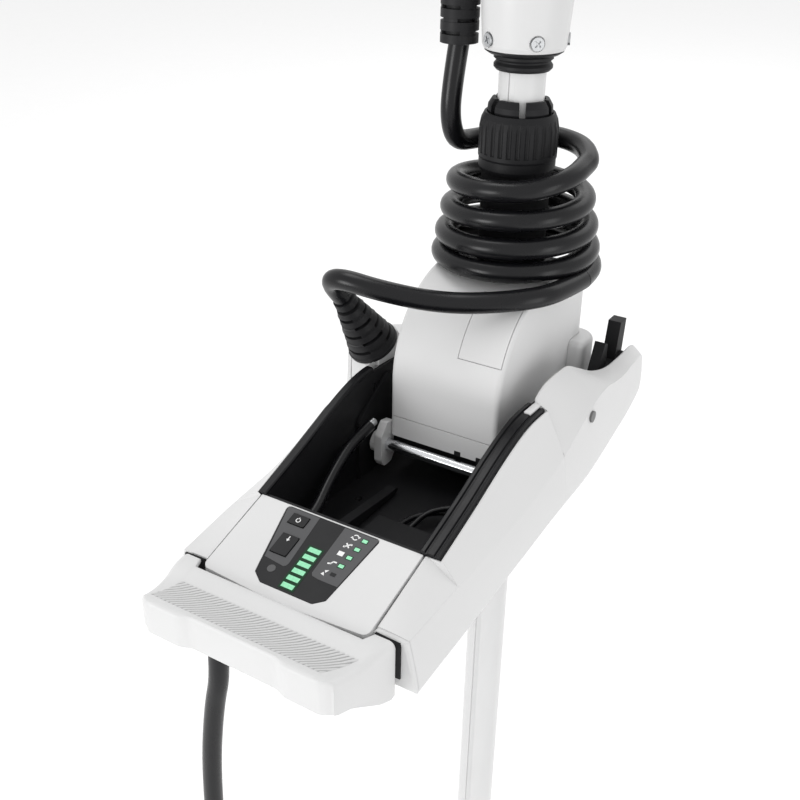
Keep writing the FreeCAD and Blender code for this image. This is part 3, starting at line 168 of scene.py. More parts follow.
CABLE = 16.0
POWER_CABLE = 15.0
COIL_CENTRE = (3.0, 151.8)

# One continuous motor cable: strain relief, sweep round the housing, coil, bend up to the head.
LEAD_ROUTE = [(-90.8, 46.2, 156.4), (-95.5, 33.9, 172.0), (-78.0, 24.0, 182.0), (-47.0, 31.0, 176.5),
              (-12.0, 50.0, 169.0), (22.0, 65.0, 170.5), (53.5, 90.0, 173.5), (62.0, 118.0, 173.5)]
UPPER_LEAD_ROUTE = [(51.5, 170.0, 258.0), (35.0, 192.0, 263.0), (3.0, 201.0, 264.5),
                    (-31.0, 190.0, 263.5), (-48.0, 169.0, 260.0), (-54.0, 150.0, 261.5),
                    (-55.5, 142.0, 281.0), (-54.0, 142.0, 308.0), (-51.0, 144.0, 336.0)]
POWER_ROUTE = [(-65.0, -150.0, -18.0), (-63.5, -150.0, -58.0), (-74.0, -150.0, -100.0),
               (-82.0, -151.0, -170.0), (-86.0, -148.0, -300.0), (-83.0, -150.0, -500.0),
               (-84.0, -149.0, -690.0), (-85.0, -150.0, -870.0)]
# Turning angle in degrees -> height and radius of the winding's centre line, in mm.
WINDING = [(-8, 173.5, 62.0), (60, 176.0, 60.0), (300, 185.0, 59.0), (660, 202.5, 56.5),
           (1020, 223.0, 52.5), (1380, 244.0, 48.5), (1460, 257.0, 48.5)]
WINDING_START = -8
SPLIT = 816
WINDING_END = 1448


def winding_point(angle):
    for (a0, z0, r0), (a1, z1, r1) in zip(WINDING, WINDING[1:]):
        if angle <= a1:
            share = (angle - a0) / (a1 - a0)
            radius = r0 + share * (r1 - r0)
            height = z0 + share * (z1 - z0)
            break
    turn = radians(angle)
    return (COIL_CENTRE[0] + radius * cos(turn), COIL_CENTRE[1] + radius * sin(turn), height)


def winding(start, end, step=16.0):
    count = round((end - start) / step)
    return [winding_point(start + (end - start) * i / count) for i in range(count + 1)]


def route_spline(name, route, bevel=0.0, resolution=6):
    """Smooth NURBS line through the neighbourhood of the route's points (mm)."""
    curve = bpy.data.curves.new(name, "CURVE")
    curve.dimensions = "3D"
    curve.resolution_u = resolution
    curve.bevel_depth = bevel * MM
    curve.bevel_resolution = 8
    curve.use_fill_caps = True
    spline = curve.splines.new("NURBS")
    spline.points.add(len(route) - 1)
    for point, place in zip(spline.points, route):
        point.co = (*mm(*place), 1.0)
    spline.order_u = 3
    spline.use_endpoint_u = True
    return add_object(name, curve)


def to_mesh(piece):
    mesh = bpy.data.meshes.new_from_object(piece)
    bpy.data.objects.remove(piece)
    return mesh


def cord_tube(name, route, diameter, material, resolution=6):
    """Round tube on a route's spline, as a mesh, and the points that it follows."""
    line = to_mesh(route_spline(name + "_line", route, resolution=resolution))
    path = [vertex.co.copy() for vertex in line.vertices]
    skin = to_mesh(route_spline(name + "_tube", route, diameter / 2, resolution))
    tube = add_object(name, skin, material)
    for face in tube.data.polygons:
        face.use_smooth = True
    return tube, path


# ---------------------------------------------------------------- materials

def shader(name, colour, roughness, metallic=0.0, coat=0.0, sheen=0.0, specular=0.5):
    """Principled material; returns material, nodes, links, shader."""
    material = bpy.data.materials.new(name)
    material.use_nodes = True
    nodes, links = material.node_tree.nodes, material.node_tree.links
    surface = nodes["Principled BSDF"]
    surface.inputs["Base Color"].default_value = (*colour, 1.0)
    surface.inputs["Roughness"].default_value = roughness
    surface.inputs["Metallic"].default_value = metallic
    surface.inputs["Coat Weight"].default_value = coat
    surface.inputs["Coat Roughness"].default_value = 0.15
    surface.inputs["Sheen Weight"].default_value = sheen
    surface.inputs["Specular IOR Level"].default_value = specular
    return material, nodes, links, surface


def noise(nodes, links, scale, detail=3.0, stretch=None):
    """Noise on object coordinates; scale is in features per metre."""
    place = nodes.new("ShaderNodeTexCoord")
    source = place.outputs["Object"]
    if stretch:
        mapping = nodes.new("ShaderNodeMapping")
        mapping.inputs["Scale"].default_value = stretch
        links.new(source, mapping.inputs["Vector"])
        source = mapping.outputs["Vector"]
    texture = nodes.new("ShaderNodeTexNoise")
    texture.inputs["Scale"].default_value = scale
    texture.inputs["Detail"].default_value = detail
    links.new(source, texture.inputs["Vector"])
    return texture.outputs["Fac"]


def ranged(nodes, links, value, low, high):
    spread = nodes.new("ShaderNodeMapRange")
    spread.inputs["From Min"].default_value = 0.3
    spread.inputs["From Max"].default_value = 0.7
    spread.inputs["To Min"].default_value = low
    spread.inputs["To Max"].default_value = high
    links.new(value, spread.inputs["Value"])
    return spread.outputs["Result"]


def tinted(nodes, links, value, dark, light):
    ramp = nodes.new("ShaderNodeValToRGB")
    ramp.color_ramp.elements[0].position = 0.3
    ramp.color_ramp.elements[0].color = (*dark, 1.0)
    ramp.color_ramp.elements[1].position = 0.7
    ramp.color_ramp.elements[1].color = (*light, 1.0)
    links.new(value, ramp.inputs["Fac"])
    return ramp.outputs["Color"]


def shaded(colour, factor):
    return tuple(min(1.0, part * factor) for part in colour)


def finish(name, colour, roughness, grain=900.0, depth=0.03, edge=0.5, variety=0.05, metallic=0.0,
           coat=0.0, sheen=0.0, specular=0.5, stretch=None):
    """Moulded, painted or cast surface: fine grain, slow colour drift, softened edges."""
    material, nodes, links, surface = shader(name, colour, roughness, metallic, coat, sheen, specular)
    drift = noise(nodes, links, 14.0, 4.0)
    links.new(tinted(nodes, links, drift, shaded(colour, 1 - variety), shaded(colour, 1 + variety)),
              surface.inputs["Base Color"])
    patches = noise(nodes, links, 55.0, 5.0, stretch)
    links.new(ranged(nodes, links, patches, roughness - 0.04, roughness + 0.06),
              surface.inputs["Roughness"])
    softened = nodes.new("ShaderNodeBevel")
    softened.samples = 6
    softened.inputs["Radius"].default_value = edge * MM
    bump = nodes.new("ShaderNodeBump")
    bump.inputs["Strength"].default_value = 0.6
    bump.inputs["Distance"].default_value = depth * MM
    links.new(noise(nodes, links, grain, 2.0, stretch), bump.inputs["Height"])
    links.new(softened.outputs["Normal"], bump.inputs["Normal"])
    links.new(bump.outputs["Normal"], surface.inputs["Normal"])
    return material


def lit_window(name, colour, glow):
    material, nodes, links, surface = shader(name, colour, 0.35, coat=0.4)
    surface.inputs["Emission Color"].default_value = (*colour, 1.0)
    surface.inputs["Emission Strength"].default_value = glow
    haze = noise(nodes, links, 700.0, 2.0)
    links.new(tinted(nodes, links, haze, shaded(colour, 0.88), shaded(colour, 1.08)),
              surface.inputs["Base Color"])
    return material


WHITE = (0.63, 0.63, 0.63)
finishes = {
    "white_cover": finish("white cover", WHITE, 0.42, 1500.0, 0.012, 0.7, 0.012, specular=0.35),
    "black_plastic": finish("black plastic", (0.008, 0.008, 0.009), 0.5, 1300.0, 0.03, 0.4, 0.15,
                            specular=0.22),
    "black_gloss": finish("black trim", (0.006, 0.006, 0.007), 0.34, 900.0, 0.01, 0.5, 0.1,
                          specular=0.25),
    "cast_black": finish("black casting", (0.008, 0.008, 0.009), 0.58, 800.0, 0.05, 0.5, 0.2,
                         specular=0.2),
    "black_rubber": finish("boot rubber", (0.010, 0.010, 0.011), 0.5, 1500.0, 0.03, 0.4, 0.12,
                           specular=0.24),
    "cable_jacket": finish("cable jacket", (0.005, 0.005, 0.006), 0.27, 500.0, 0.02, 0.2, 0.1,
                           specular=0.3),
    "chrome_steel": finish("chromed rod", (0.72, 0.73, 0.75), 0.14, 300.0, 0.004, 0.3, 0.02,
                           metallic=1.0),
    "steel": finish("stainless steel", (0.5, 0.51, 0.52), 0.28, 900.0, 0.01, 0.25, 0.05, metallic=1.0),
    "anodised": finish("anodised aluminium", (0.6, 0.61, 0.62), 0.35, 900.0, 0.01, 0.3, 0.03,
                       metallic=1.0),
    "painted_white_metal": finish("white paint", WHITE, 0.32, 700.0, 0.012, 0.4, 0.015, specular=0.4),
    "display": finish("display plate", (0.016, 0.016, 0.017), 0.5, 1800.0, 0.008, 0.25, 0.06,
                      specular=0.2),
    "light_guide": lit_window("lit window", (0.20, 0.60, 0.34), 0.14),
    "circuit": finish("circuit board", (0.02, 0.12, 0.06), 0.4, 400.0, 0.06, 0.2, 0.3),
    "copper_iron": finish("stator windings", (0.30, 0.13, 0.06), 0.4, 300.0, 0.2, 0.2, 0.3,
                          metallic=0.6),
    "gear_steel": finish("machined steel", (0.42, 0.42, 0.43), 0.3, 700.0, 0.02, 0.2, 0.06,
                         metallic=1.0),
    "brass_part": finish("machined brass", (0.70, 0.50, 0.20), 0.3, 700.0, 0.02, 0.2, 0.06,
                         metallic=1.0),
}
panel_grey = finish("display zone", (0.085, 0.085, 0.088), 0.55, 1800.0, 0.008, 0.2, 0.05,
                    specular=0.2)
lamp_surround = finish("lamp surround", (0.004, 0.035, 0.012), 0.5, 900.0, 0.01, 0.2, 0.1,
                       specular=0.2)
symbol_white = finish("printed symbol", (0.78, 0.78, 0.78), 0.5, 900.0, 0.004, 0.1, 0.03,
                      specular=0.2)
sensor_grey = finish("light sensor", (0.05, 0.05, 0.052), 0.4, 900.0, 0.01, 0.2, 0.05)
plug_grey = finish("grey plug", (0.13, 0.13, 0.13), 0.5, 900.0, 0.01, 0.3, 0.08)


def dress_cad_nodes():
    """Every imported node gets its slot's finish, apart from the grey plugs over the cover screws."""
    slot_of = {entry["node"]: entry["material_slot"] for entry in frame["record"]["subparts"]}
    for node_name, node in NODES.items():
        for material_slot in node.material_slots:
            material_slot.material = finishes[slot_of[node_name]]
    NODES["screw_caps"].material_slots[0].material = plug_grey


dress_cad_nodes()

# ---------------------------------------------------------------- the cords themselves
#
# The lower turns wind round the steering axis, and the upright stretch under the head runs along the depth
# slide.

JACKET = finishes["cable_jacket"]

lead, lead_path = cord_tube("motor_lead", LEAD_ROUTE + [winding_point(WINDING_START)], CABLE, JACKET, 10)
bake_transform(lead)
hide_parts("mount_lead")

lower_turns, lower_path = cord_tube("coil_lower_turns", winding(WINDING_START, SPLIT), CABLE, JACKET)
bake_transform(lower_turns)
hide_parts("coil_lower")

upper_turns, upper_path = cord_tube("coil_upper_turns", winding(SPLIT, WINDING_END) + UPPER_LEAD_ROUTE,
                                    CABLE, JACKET)
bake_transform(upper_turns)
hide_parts("coil_upper", "head_lead")

power, power_path = cord_tube("power_lead", POWER_ROUTE, POWER_CABLE, JACKET, 12)
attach(power, "mount")
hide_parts("power_cable")

# ---------------------------------------------------------------- starboard side cover

def sampled(stations, step=3.0):
    """Stations (y, numbers...) resampled with a smooth curve through them."""
    result = []
    for index in range(len(stations) - 1):
        before = stations[max(index - 1, 0)]
        here, there = stations[index], stations[index + 1]
        after = stations[min(index + 2, len(stations) - 1)]
        count = max(1, round((there[0] - here[0]) / step))
        for k in range(count):
            t = k / count
            row = [here[0] + t * (there[0] - here[0])]
            for b, h, n, a, in zip(before[1:], here[1:], there[1:], after[1:]):
                span = there[0] - here[0]
                slope_in = (n - b) / (there[0] - before[0]) * span if index else n - h
                slope_out = (a - h) / (after[0] - here[0]) * span
                row.append(h + t * slope_in + t * t * (3 * (n - h) - 2 * slope_in - slope_out)
                           + t ** 3 * (slope_in + slope_out - 2 * (n - h)))
            result.append(tuple(row))
    result.append(tuple(stations[-1]))
    return result


# y, top edge x and z, crease x and z, bottom x and z
AFT_STATIONS = [
    (-150.0, 67.4, 38.8, 91.0, 38.0, 99.0, 0.5), (-130.0, 67.4, 45.2, 91.6, 39.5, 99.4, 3.2),
    (-99.0, 67.4, 55.4, 92.4, 42.4, 100.0, 7.0), (-90.5, 67.4, 58.2, 92.7, 43.0, 100.1, 8.0)]
RIM_STATIONS = [
    (-90.0, 78.6, 58.2, 92.7, 43.0, 100.1, 8.1), (-46.0, 78.6, 73.6, 94.2, 46.0, 100.5, 14.0),
    (-8.0, 78.6, 88.6, 95.5, 51.5, 101.0, 18.5), (20.0, 78.6, 97.4, 96.2, 56.0, 101.0, 21.5),
    (39.0, 78.6, 100.4, 96.6, 60.0, 101.0, 23.5), (61.9, 78.6, 100.2, 97.0, 66.0, 101.0, 25.0)]
SHOULDER_STATIONS = [
    (62.1, 69.5, 104.6, 97.0, 67.0, 101.0, 25.2), (66.0, 67.8, 106.8, 97.1, 68.6, 101.0, 25.4),
    (80.0, 67.4, 111.4, 97.4, 76.0, 101.0, 26.0), (95.0, 67.5, 112.4, 97.8, 83.5, 101.0, 27.0),
    (108.0, 67.8, 112.2, 98.0, 89.0, 101.0, 28.5), (118.0, 68.8, 111.6, 98.3, 92.5, 101.0, 30.8),
    (135.0, 73.0, 103.4, 98.8, 95.0, 101.0, 35.0), (148.0, 77.0, 97.4, 99.0, 93.0, 101.0, 39.0),
    (166.0, 82.0, 94.4, 99.3, 91.6, 101.0, 44.0), (186.0, 86.0, 97.8, 99.5, 94.0, 101.0, 50.5),
    (203.0, 88.0, 101.0, 99.3, 95.0, 100.5, 57.5), (211.0, 88.5, 98.0, 98.5, 90.0, 99.5, 62.0),
    (216.0, 89.0, 88.0, 96.5, 82.0, 97.0, 69.0)]
EDGE_RADIUS = 1.6
WALL_THICKNESS = (3.0, 2.6)


def cover_row(station, wall, shrink=0.0):
    """One closed section of the side cover at a station, with soft top edge and crease."""
    y, top_x, top_z, crease_x, crease_z, low_x, low_z = station
    edge_x = top_x + EDGE_RADIUS
    outer = [(top_x, top_z - EDGE_RADIUS), (top_x + 0.5, top_z - 0.5), (edge_x, top_z)]
    for t in (0.15, 0.35, 0.55, 0.75, 0.96):
        bulge = 0.5 * sin(pi * t)
        outer.append((edge_x + t * (crease_x - edge_x) + bulge * 0.6,
                      top_z + t * (crease_z - top_z) + bulge * 0.5))
    outer.append((crease_x, crease_z))
    for t in (0.06, 0.2, 0.45, 0.7, 0.94):
        outer.append((crease_x + t * (low_x - crease_x) + 0.6 * sin(pi * t),
                      crease_z + t * (low_z - crease_z)))
    outer.append((low_x - 0.8, low_z))
    centre_z = (top_z + low_z) / 2
    outer = [(x - shrink, z + (shrink if z < centre_z else -shrink)) for x, z in outer]
    if wall:
        side, top = WALL_THICKNESS
        inner = [(min(max(top_x, x - side), low_x - side - 0.5), max(z - top, low_z)) for x, z in outer]
    else:
        inner = [(top_x, min(z, top_z - 1.7)) for x, z in outer]
    return [mm(x, y, z) for x, z in outer + inner[::-1]]


def starboard_cover():
    """The side cover: closed and rounded at its aft end, a thin wall from there to the bow."""
    stations = sampled(AFT_STATIONS) + sampled(RIM_STATIONS) + sampled(SHOULDER_STATIONS)
    first = stations[0]
    rows = [cover_row((first[0] + inward,) + first[1:], False, shrink)
            for inward, shrink in ((0.0, 2.2), (0.7, 0.9), (2.2, 0.0), (2.9, 0.0))]
    rows += [cover_row(station, True) for station in stations[1:]]
    cover = crisp(rows_piece("starboard_cover", rows, finishes["white_cover"]), 11.0)
    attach(cover, "mount")
    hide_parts("side_cover_right")


starboard_cover()


def gap_shade_plates():
    """Black plates aft of the side covers and the control cover: painted shade that darkens the gaps round
    the pedal.
    """
    for name, side in (("starboard", 1), ("port", -1)):
        outline = [(68.5, 37.4), (86.4, 36.6), (87.0, 34.0), (87.0, 9.0), (68.5, 9.0)]
        rows = [[mm(side * x, y, z) for x, z in outline] for y in (-151.3, -149.6)]
        shade_plate = rows_piece("gap_shade_plate_" + name, rows, finishes["cast_black"])
        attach(shade_plate, "mount")
    # Painted shade: a black strip in the gap between the control cover and the pedal's back edge.
    rows = [[mm(x, -160.7, 22.0), mm(x, -160.7, 34.4), mm(x, -158.4, 34.4), mm(x, -158.4, 22.0)]
            for x in (-66.0, 66.0)]
    strip = rows_piece("gap_shade_plate_panel", rows, finishes["cast_black"])
    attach(strip, "mount")


gap_shade_plates()


# y and z of the rims, and the moulding's x with its height over the rim
RIM_LINE = [(-90.0, 57.0), (-46.0, 72.0), (-8.0, 87.0), (20.0, 96.0), (39.0, 99.0), (61.6, 98.8)]
PORT_RIM_END = 50.0
LIP_START = 42.0
STEPPED_RAIL = [(63.5, 0.0), (63.5, 3.2), (64.3, 4.0), (66.6, 4.0), (67.2, 2.4), (68.4, 2.4), (69.0, 3.6),
                (73.6, 3.6), (74.2, 2.0), (75.0, 2.0), (75.6, 2.8), (77.4, 2.4), (78.0, 1.4), (78.0, 0.0)]
PLAIN_RAIL = [(-63.5, 0.0), (-70.3, 0.0), (-70.3, 2.4), (-69.4, 3.4), (-64.4, 3.4), (-63.5, 2.4)]
LIP = [(69.2, 3.0), (69.2, 5.0), (70.4, 5.6), (73.2, 5.6), (74.4, 4.6), (74.4, 3.0)]


def swept(section, line):
    """Rows that carry a section of (x, height) along a line of (y, z)."""
    return [[mm(x, y, z + height) for x, height in section] for y, z in line]


def rim_rails():
    """Black moulding along each rim of the bay: stepped on the starboard side, plain to port."""
    line = sampled(RIM_LINE)
    port_line = [(y, z) for y, z in line if y < PORT_RIM_END]
    for name, section, course in (("rim_rail_starboard", STEPPED_RAIL, line),
                                  ("rim_rail_port", PLAIN_RAIL, port_line)):
        rail = crisp(rows_piece(name, swept(section, course), finishes["black_gloss"]), 20.0)
        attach(rail, "mount")
    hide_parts("rim_trims")
    lip_line = [(y, z) for y, z in line if y > LIP_START]
    lip = rows_piece("rim_lip", swept(LIP, lip_line), finishes["white_cover"])
    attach(lip, "mount")


rim_rails()

# ---------------------------------------------------------------- pedal

# (y, z) of the pedal's top and lower edge, and (y, x) of its half width
PEDAL_TOP = [(-150.0, 39.5), (-158.0, 40.2), (-166.0, 40.2), (-172.0, 39.0), (-177.0, 37.4),
             (-184.0, 37.0), (-193.0, 38.2), (-200.0, 40.0), (-204.0, 41.6), (-212.0, 42.0)]
PEDAL_LOW = [(-150.0, -2.0), (-156.0, -5.0), (-166.0, -2.0), (-190.0, 12.0), (-206.0, 15.5),
             (-212.0, 15.5)]
PEDAL_HALF = [(-150.0, 85.0), (-160.0, 83.8), (-170.0, 82.0), (-180.0, 80.0), (-192.0, 77.4),
              (-201.0, 75.6), (-212.0, 74.0)]
ARM_OUTLINE = [(-142.5, 7.4), (-140.6, 12.0), (-142.5, 17.0), (-161.0, 27.0), (-168.0, 35.5),
               (-176.0, 35.5), (-166.0, 20.0), (-150.0, 7.4)]


def along(line, y):
    """Height or width read from a (y, number) line that runs aft."""
    for (y0, n0), (y1, n1) in zip(line, line[1:]):
        if y >= y1:
            return n0 + (n1 - n0) * (y - y0) / (y1 - y0)
    return line[-1][1]


def ease(t):
    t = max(0.0, min(1.0, t))
    return t * t * (3 - 2 * t)


def pedal_front(x):
    """Wavy front lip: two lobes, set back in the middle and at the rounded corners."""
    lobe = ease((abs(x) - 31.0) / 13.0) * (1 - ease((abs(x) - 66.0) / 10.0))
    return -205.6 - 3.4 * lobe + 1.4 * ease((abs(x) - 70.0) / 5.0)


def pedal_column(share, walled, rounding):
    """Closed ring of the pedal shell at a share of its half width."""
    x = share * 80.0
    back = -161.4 if abs(x) < 65.6 else -153.0
    front = pedal_front(share * 75.0)
    outer = []
    for v in (0.0, 0.02, 0.06, 0.12, 0.2, 0.28, 0.36, 0.45, 0.55, 0.65, 0.74, 0.82, 0.89, 0.94):
        y = back + v * (front - back)
        drop = 1.4 if v == 0.0 else 0.4 if v == 0.02 else 0.0
        outer.append((y, along(PEDAL_TOP, y) - drop))
    lip = along(PEDAL_TOP, front)
    outer += [(front + 1.2, lip - 0.2), (front + 0.4, lip - 0.9), (front, lip - 2.2), (front, lip - 8.0),
              (front, 20.0), (front + 0.3, along(PEDAL_LOW, front) + 1.0)]
    inner = []
    for y, z in outer:
        inside = min(max(y, front + 3.4), back)
        inner.append((inside, along(PEDAL_LOW, inside) if walled
                      else min(z - 0.3, along(PEDAL_TOP, inside) - 3.6) if z > 32.0 else z))
    return [mm(share * along(PEDAL_HALF, y), y, z - (rounding if z > 30.0 else 0.0))
            for y, z in outer + inner[::-1]]


def pedal():
    """Hollow pedal shell with rounded ends, and the two arms that carry it."""
    edge = [(0.956, 0.1), (0.972, 0.6), (0.986, 1.5), (0.995, 2.8), (1.0, 4.6)]
    columns = [pedal_column(-share, True, rounding) for share, rounding in edge[::-1]]
    columns += [pedal_column(-0.953 + 1.906 * k / 64, False, 0.0) for k in range(65)]
    columns += [pedal_column(share, True, rounding) for share, rounding in edge]
    shell = crisp(rows_piece("pedal_shell", columns, finishes["white_cover"]), 40.0)
    arms = []
    for name, side in (("pedal_arm_r", 1), ("pedal_arm_l", -1)):
        rows = [[mm(side * x, y, z) for y, z in ARM_OUTLINE] for x in (45.5, 50.5)]
        arm = crisp(rows_piece(name, rows, finishes["white_cover"]), 10.0)
        arms.append(rounded_edges(arm, 0.8))
    for piece in [shell] + arms:
        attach(piece, "pedal")
    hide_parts("release_pedal")


# Direction across the ribs, their pitch, and the share of each groove's width painted dark as shade
TREAD_LINE = (0.74, -0.67)
TREAD_PITCH = 2.6
GROOVE_SHADE_SHARE = 0.22


def groove_shaded_white():
    """The white plastic, with painted shade darkening the tread's grooves."""
    material = finish("white tread with painted groove shade", WHITE, 0.5, 1500.0, 0.012, 0.3, 0.012, specular=0.3)
    nodes, links = material.node_tree.nodes, material.node_tree.links
    place = nodes.new("ShaderNodeTexCoord")
    across = nodes.new("ShaderNodeVectorMath")
    across.operation = "DOT_PRODUCT"
    across.inputs[1].default_value = [part / (TREAD_PITCH * MM) for part in (*TREAD_LINE, 0.0)]
    links.new(place.outputs["Object"], across.inputs[0])
    phase = nodes.new("ShaderNodeMath")
    phase.operation = "FRACT"
    links.new(across.outputs["Value"], phase.inputs[0])
    # Painted shade: the grooves are coloured at 0.45 of the white and the ribs at 0.93.
    ramp = nodes.new("ShaderNodeValToRGB")
    for stop in ramp.color_ramp.elements:
        stop.color = (*shaded(WHITE, 0.45), 1.0)
    for position in (GROOVE_SHADE_SHARE, 1 - GROOVE_SHADE_SHARE):
        stop = ramp.color_ramp.elements.new(position)
        stop.color = (*shaded(WHITE, 0.93), 1.0)
    links.new(phase.outputs["Value"], ramp.inputs["Fac"])
    links.new(ramp.outputs["Color"], nodes["Principled BSDF"].inputs["Base Color"])
    return material


def pedal_tread():
    """Fine diagonal ribs moulded into the pedal's top."""
    columns, rows = 380, 64
    points = []
    for i in range(rows + 1):
        v = i / rows
        y = -201.8 + 26.0 * v
        left, right = -72.5 + 5.5 * v, 64.0 + 11.5 * v
        for j in range(columns + 1):
            x = left + (right - left) * j / columns
            phase = ((x * TREAD_LINE[0] + y * TREAD_LINE[1]) / TREAD_PITCH) % 1.0
            rib = ease((0.5 - abs(phase - 0.5)) / 0.25)
            mask = min(ease((x - left) / 2.5), ease((right - x) / 2.5), ease(v / 0.08),
                       ease((1 - v) / 0.08))
            points.append(mm(x, y, along(PEDAL_TOP, y) - 0.5 + mask * (0.62 + 0.8 * rib)))
    across = columns + 1
    faces = [(i * across + j, i * across + j + 1, (i + 1) * across + j + 1, (i + 1) * across + j)
             for i in range(rows) for j in range(columns)]
    tread = mesh_piece("pedal_tread", points, faces, groove_shaded_white())
    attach(tread, "pedal")


pedal()
pedal_tread()

# ---------------------------------------------------------------- control display

PANEL_SLOPE = atan(0.318)
MARK_THICKNESS = 0.2


def on_panel(x, down, lift):
    """Point above the sloping control cover, measured from the middle of its back edge."""
    return mm(x, -90.0 + down * cos(PANEL_SLOPE) - lift * sin(PANEL_SLOPE),
              58.4 + down * sin(PANEL_SLOPE) + lift * cos(PANEL_SLOPE))


def panel_marks(name, outlines, lift, material, body="mount"):
    """Thin flat shapes printed or laid on the display."""
    points, faces = [], []
    for outline in outlines:
        start, count = len(points), len(outline)
        for level in (lift, lift - MARK_THICKNESS):
            points += [on_panel(x, y, level) for x, y in outline]
        faces.append(tuple(range(start, start + count)))
        faces.append(tuple(range(start + 2 * count - 1, start + count - 1, -1)))
        for k in range(count):
            n = (k + 1) % count
            faces.append((start + k, start + n, start + count + n, start + count + k))
    marks = mesh_piece(name, points, faces, material, False)
    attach(marks, body)


def arc_band(x, y, radius, width, start, end, count=10):
    angles = [radians(start + (end - start) * k / count) for k in range(count + 1)]
    return ([(x + radius * cos(a), y + radius * sin(a)) for a in angles]
            + [(x + (radius - width) * cos(a), y + (radius - width) * sin(a)) for a in reversed(angles)])


def disc(x, y, radius, count=24):
    return [(x + radius * cos(2 * pi * k / count), y + radius * sin(2 * pi * k / count))
            for k in range(count)]


def rectangle(x, y, width, height):
    w, h = width / 2, height / 2
    return [(x - w, y - h), (x + w, y - h), (x + w, y + h), (x - w, y + h)]


def stroke(x0, y0, x1, y1, width):
    """Thin straight bar between two points."""
    long = Vector((x1 - x0, y1 - y0)).normalized() * (width / 2)
    return [(x0 - long.y, y0 + long.x), (x0 + long.y, y0 - long.x), (x1 + long.y, y1 - long.x),
            (x1 - long.y, y1 + long.x)]


# The port zone's sides lean, so its corners are read from two lines; the keys lie in its gaps.
ZONE_TOP = -2.4
POWER_KEY_SIDES = (-34.6, -20.2)
MODE_KEY_SIDES = (-31.3, -17.1)
# Lifts above the panel, from the printed zones up to the symbols on the keys
ZONE_LIFT, SURROUND_LIFT, LAMP_LIFT, SYMBOL_LIFT, KEY_LIFT = 0.32, 0.36, 0.42, 0.46, 1.14
STATUS_LIFT = 0.5


def zone_left(down):
    return -41.6 - (down - ZONE_TOP) * 0.24


def zone_right(down):
    return -15.0 - (down - ZONE_TOP) * 0.068


def display_zones():
    """Two lighter zones; the port one is laid in bands that leave the keys free to sink."""
    low_end = -40.8
    zones = [[(6.0, ZONE_TOP), (33.4, ZONE_TOP), (28.4, -46.4), (13.6, -46.4), (8.0, -45.6), (6.5, -43.6)],
             [(zone_left(low_end), low_end), (zone_right(low_end), low_end), (-12.2, -43.6),
              (-12.8, -46.0), (-14.6, -47.2), (-31.3, -45.4)]]
    for top, bottom, key_sides in ((ZONE_TOP, -5.7, ()), (-5.7, -15.3, POWER_KEY_SIDES),
                                   (-15.3, -23.2, ()), (-23.2, low_end, MODE_KEY_SIDES)):
        sides = [(zone_left(top), zone_left(bottom))]
        sides += [(x, x) for x in key_sides]
        sides += [(zone_right(top), zone_right(bottom))]
        for low, high in zip(sides[::2], sides[1::2]):
            zones.append([(low[0], top), (high[0], top), (high[1], bottom), (low[1], bottom)])
    panel_marks("display_zones", zones, ZONE_LIFT, panel_grey)


def display_lamps():
    """Charge and status lamps in dark green surrounds; the last status lamp is off."""
    charge = [(-2.1, -28.0 - 6.25 * k) for k in range(6)]
    panel_marks("lamp_surrounds", [rectangle(x, y, 12.4, 6.4) for x, y in charge], SURROUND_LIFT,
                lamp_surround)
    panel_marks("battery_lamps", [rectangle(x, y, 9.4, 3.7) for x, y in charge], LAMP_LIFT,
                finishes["light_guide"])
    status = [(25.0 - 1.15 * k, -7.2 - 8.0 * k) for k in range(5)]
    panel_marks("status_surrounds", [rectangle(x, y, 5.0, 3.8) for x, y in status[:4]], SURROUND_LIFT,
                lamp_surround)
    panel_marks("status_lamps", [rectangle(x, y, 3.8, 2.6) for x, y in status[:4]], STATUS_LIFT,
                finishes["light_guide"])
    panel_marks("status_lamp_dark", [rectangle(*status[4], 4.0, 2.6)], STATUS_LIFT,
                finishes["display"])
    panel_marks("light_sensor", [disc(-20.8, -52.0, 3.0)], 0.4, sensor_grey)


def display_symbols():
    """Plain pictograms beside the status lamps and on the two keys."""
    loop = [arc_band(17.4, -6.8, 2.4, 0.8, 20, 150), arc_band(17.4, -6.8, 2.4, 0.8, 200, 330),
            [(18.6, -5.4), (20.8, -5.4), (19.7, -7.2)], [(14.0, -8.2), (16.2, -8.2), (15.1, -6.4)]]
    cross = [stroke(14.2, -16.6, 18.0, -13.0, 1.0), stroke(14.4, -13.2, 17.8, -16.4, 1.0),
             rectangle(18.2, -13.4, 1.5, 1.3), rectangle(14.2, -16.4, 1.5, 1.3)]
    block = [rectangle(15.5, -22.4, 4.4, 3.6)]
    steps = [stroke(11.6, -32.8, 14.2, -32.0, 1.1), stroke(13.6, -32.6, 15.0, -29.8, 1.0),
             stroke(14.6, -30.2, 17.4, -30.0, 1.1)]
    wedges = [[(12.2, -41.8), (15.2, -42.4), (13.6, -39.8)],
              [(13.4, -38.4), (16.2, -37.2), (14.8, -40.0)]]
    panel_marks("pictograms", loop + cross + block + steps + wedges, SYMBOL_LIFT, symbol_white)
    ring = [arc_band(-27.4, -10.8, 1.9, 0.6, 120, 420), stroke(-27.4, -9.6, -27.4, -8.4, 0.6)]
    panel_marks("power_symbol", ring, KEY_LIFT, symbol_white, "power_key")
    arrow = [stroke(-24.2, -27.6, -24.2, -24.8, 0.7), [(-25.6, -27.4), (-22.8, -27.4), (-24.2, -29.2)]]
    panel_marks("mode_symbol", arrow, KEY_LIFT, symbol_white, "mode_key")


display_zones()
display_lamps()
display_symbols()

# ---------------------------------------------------------------- small parts

SCREW_SIDES = 20


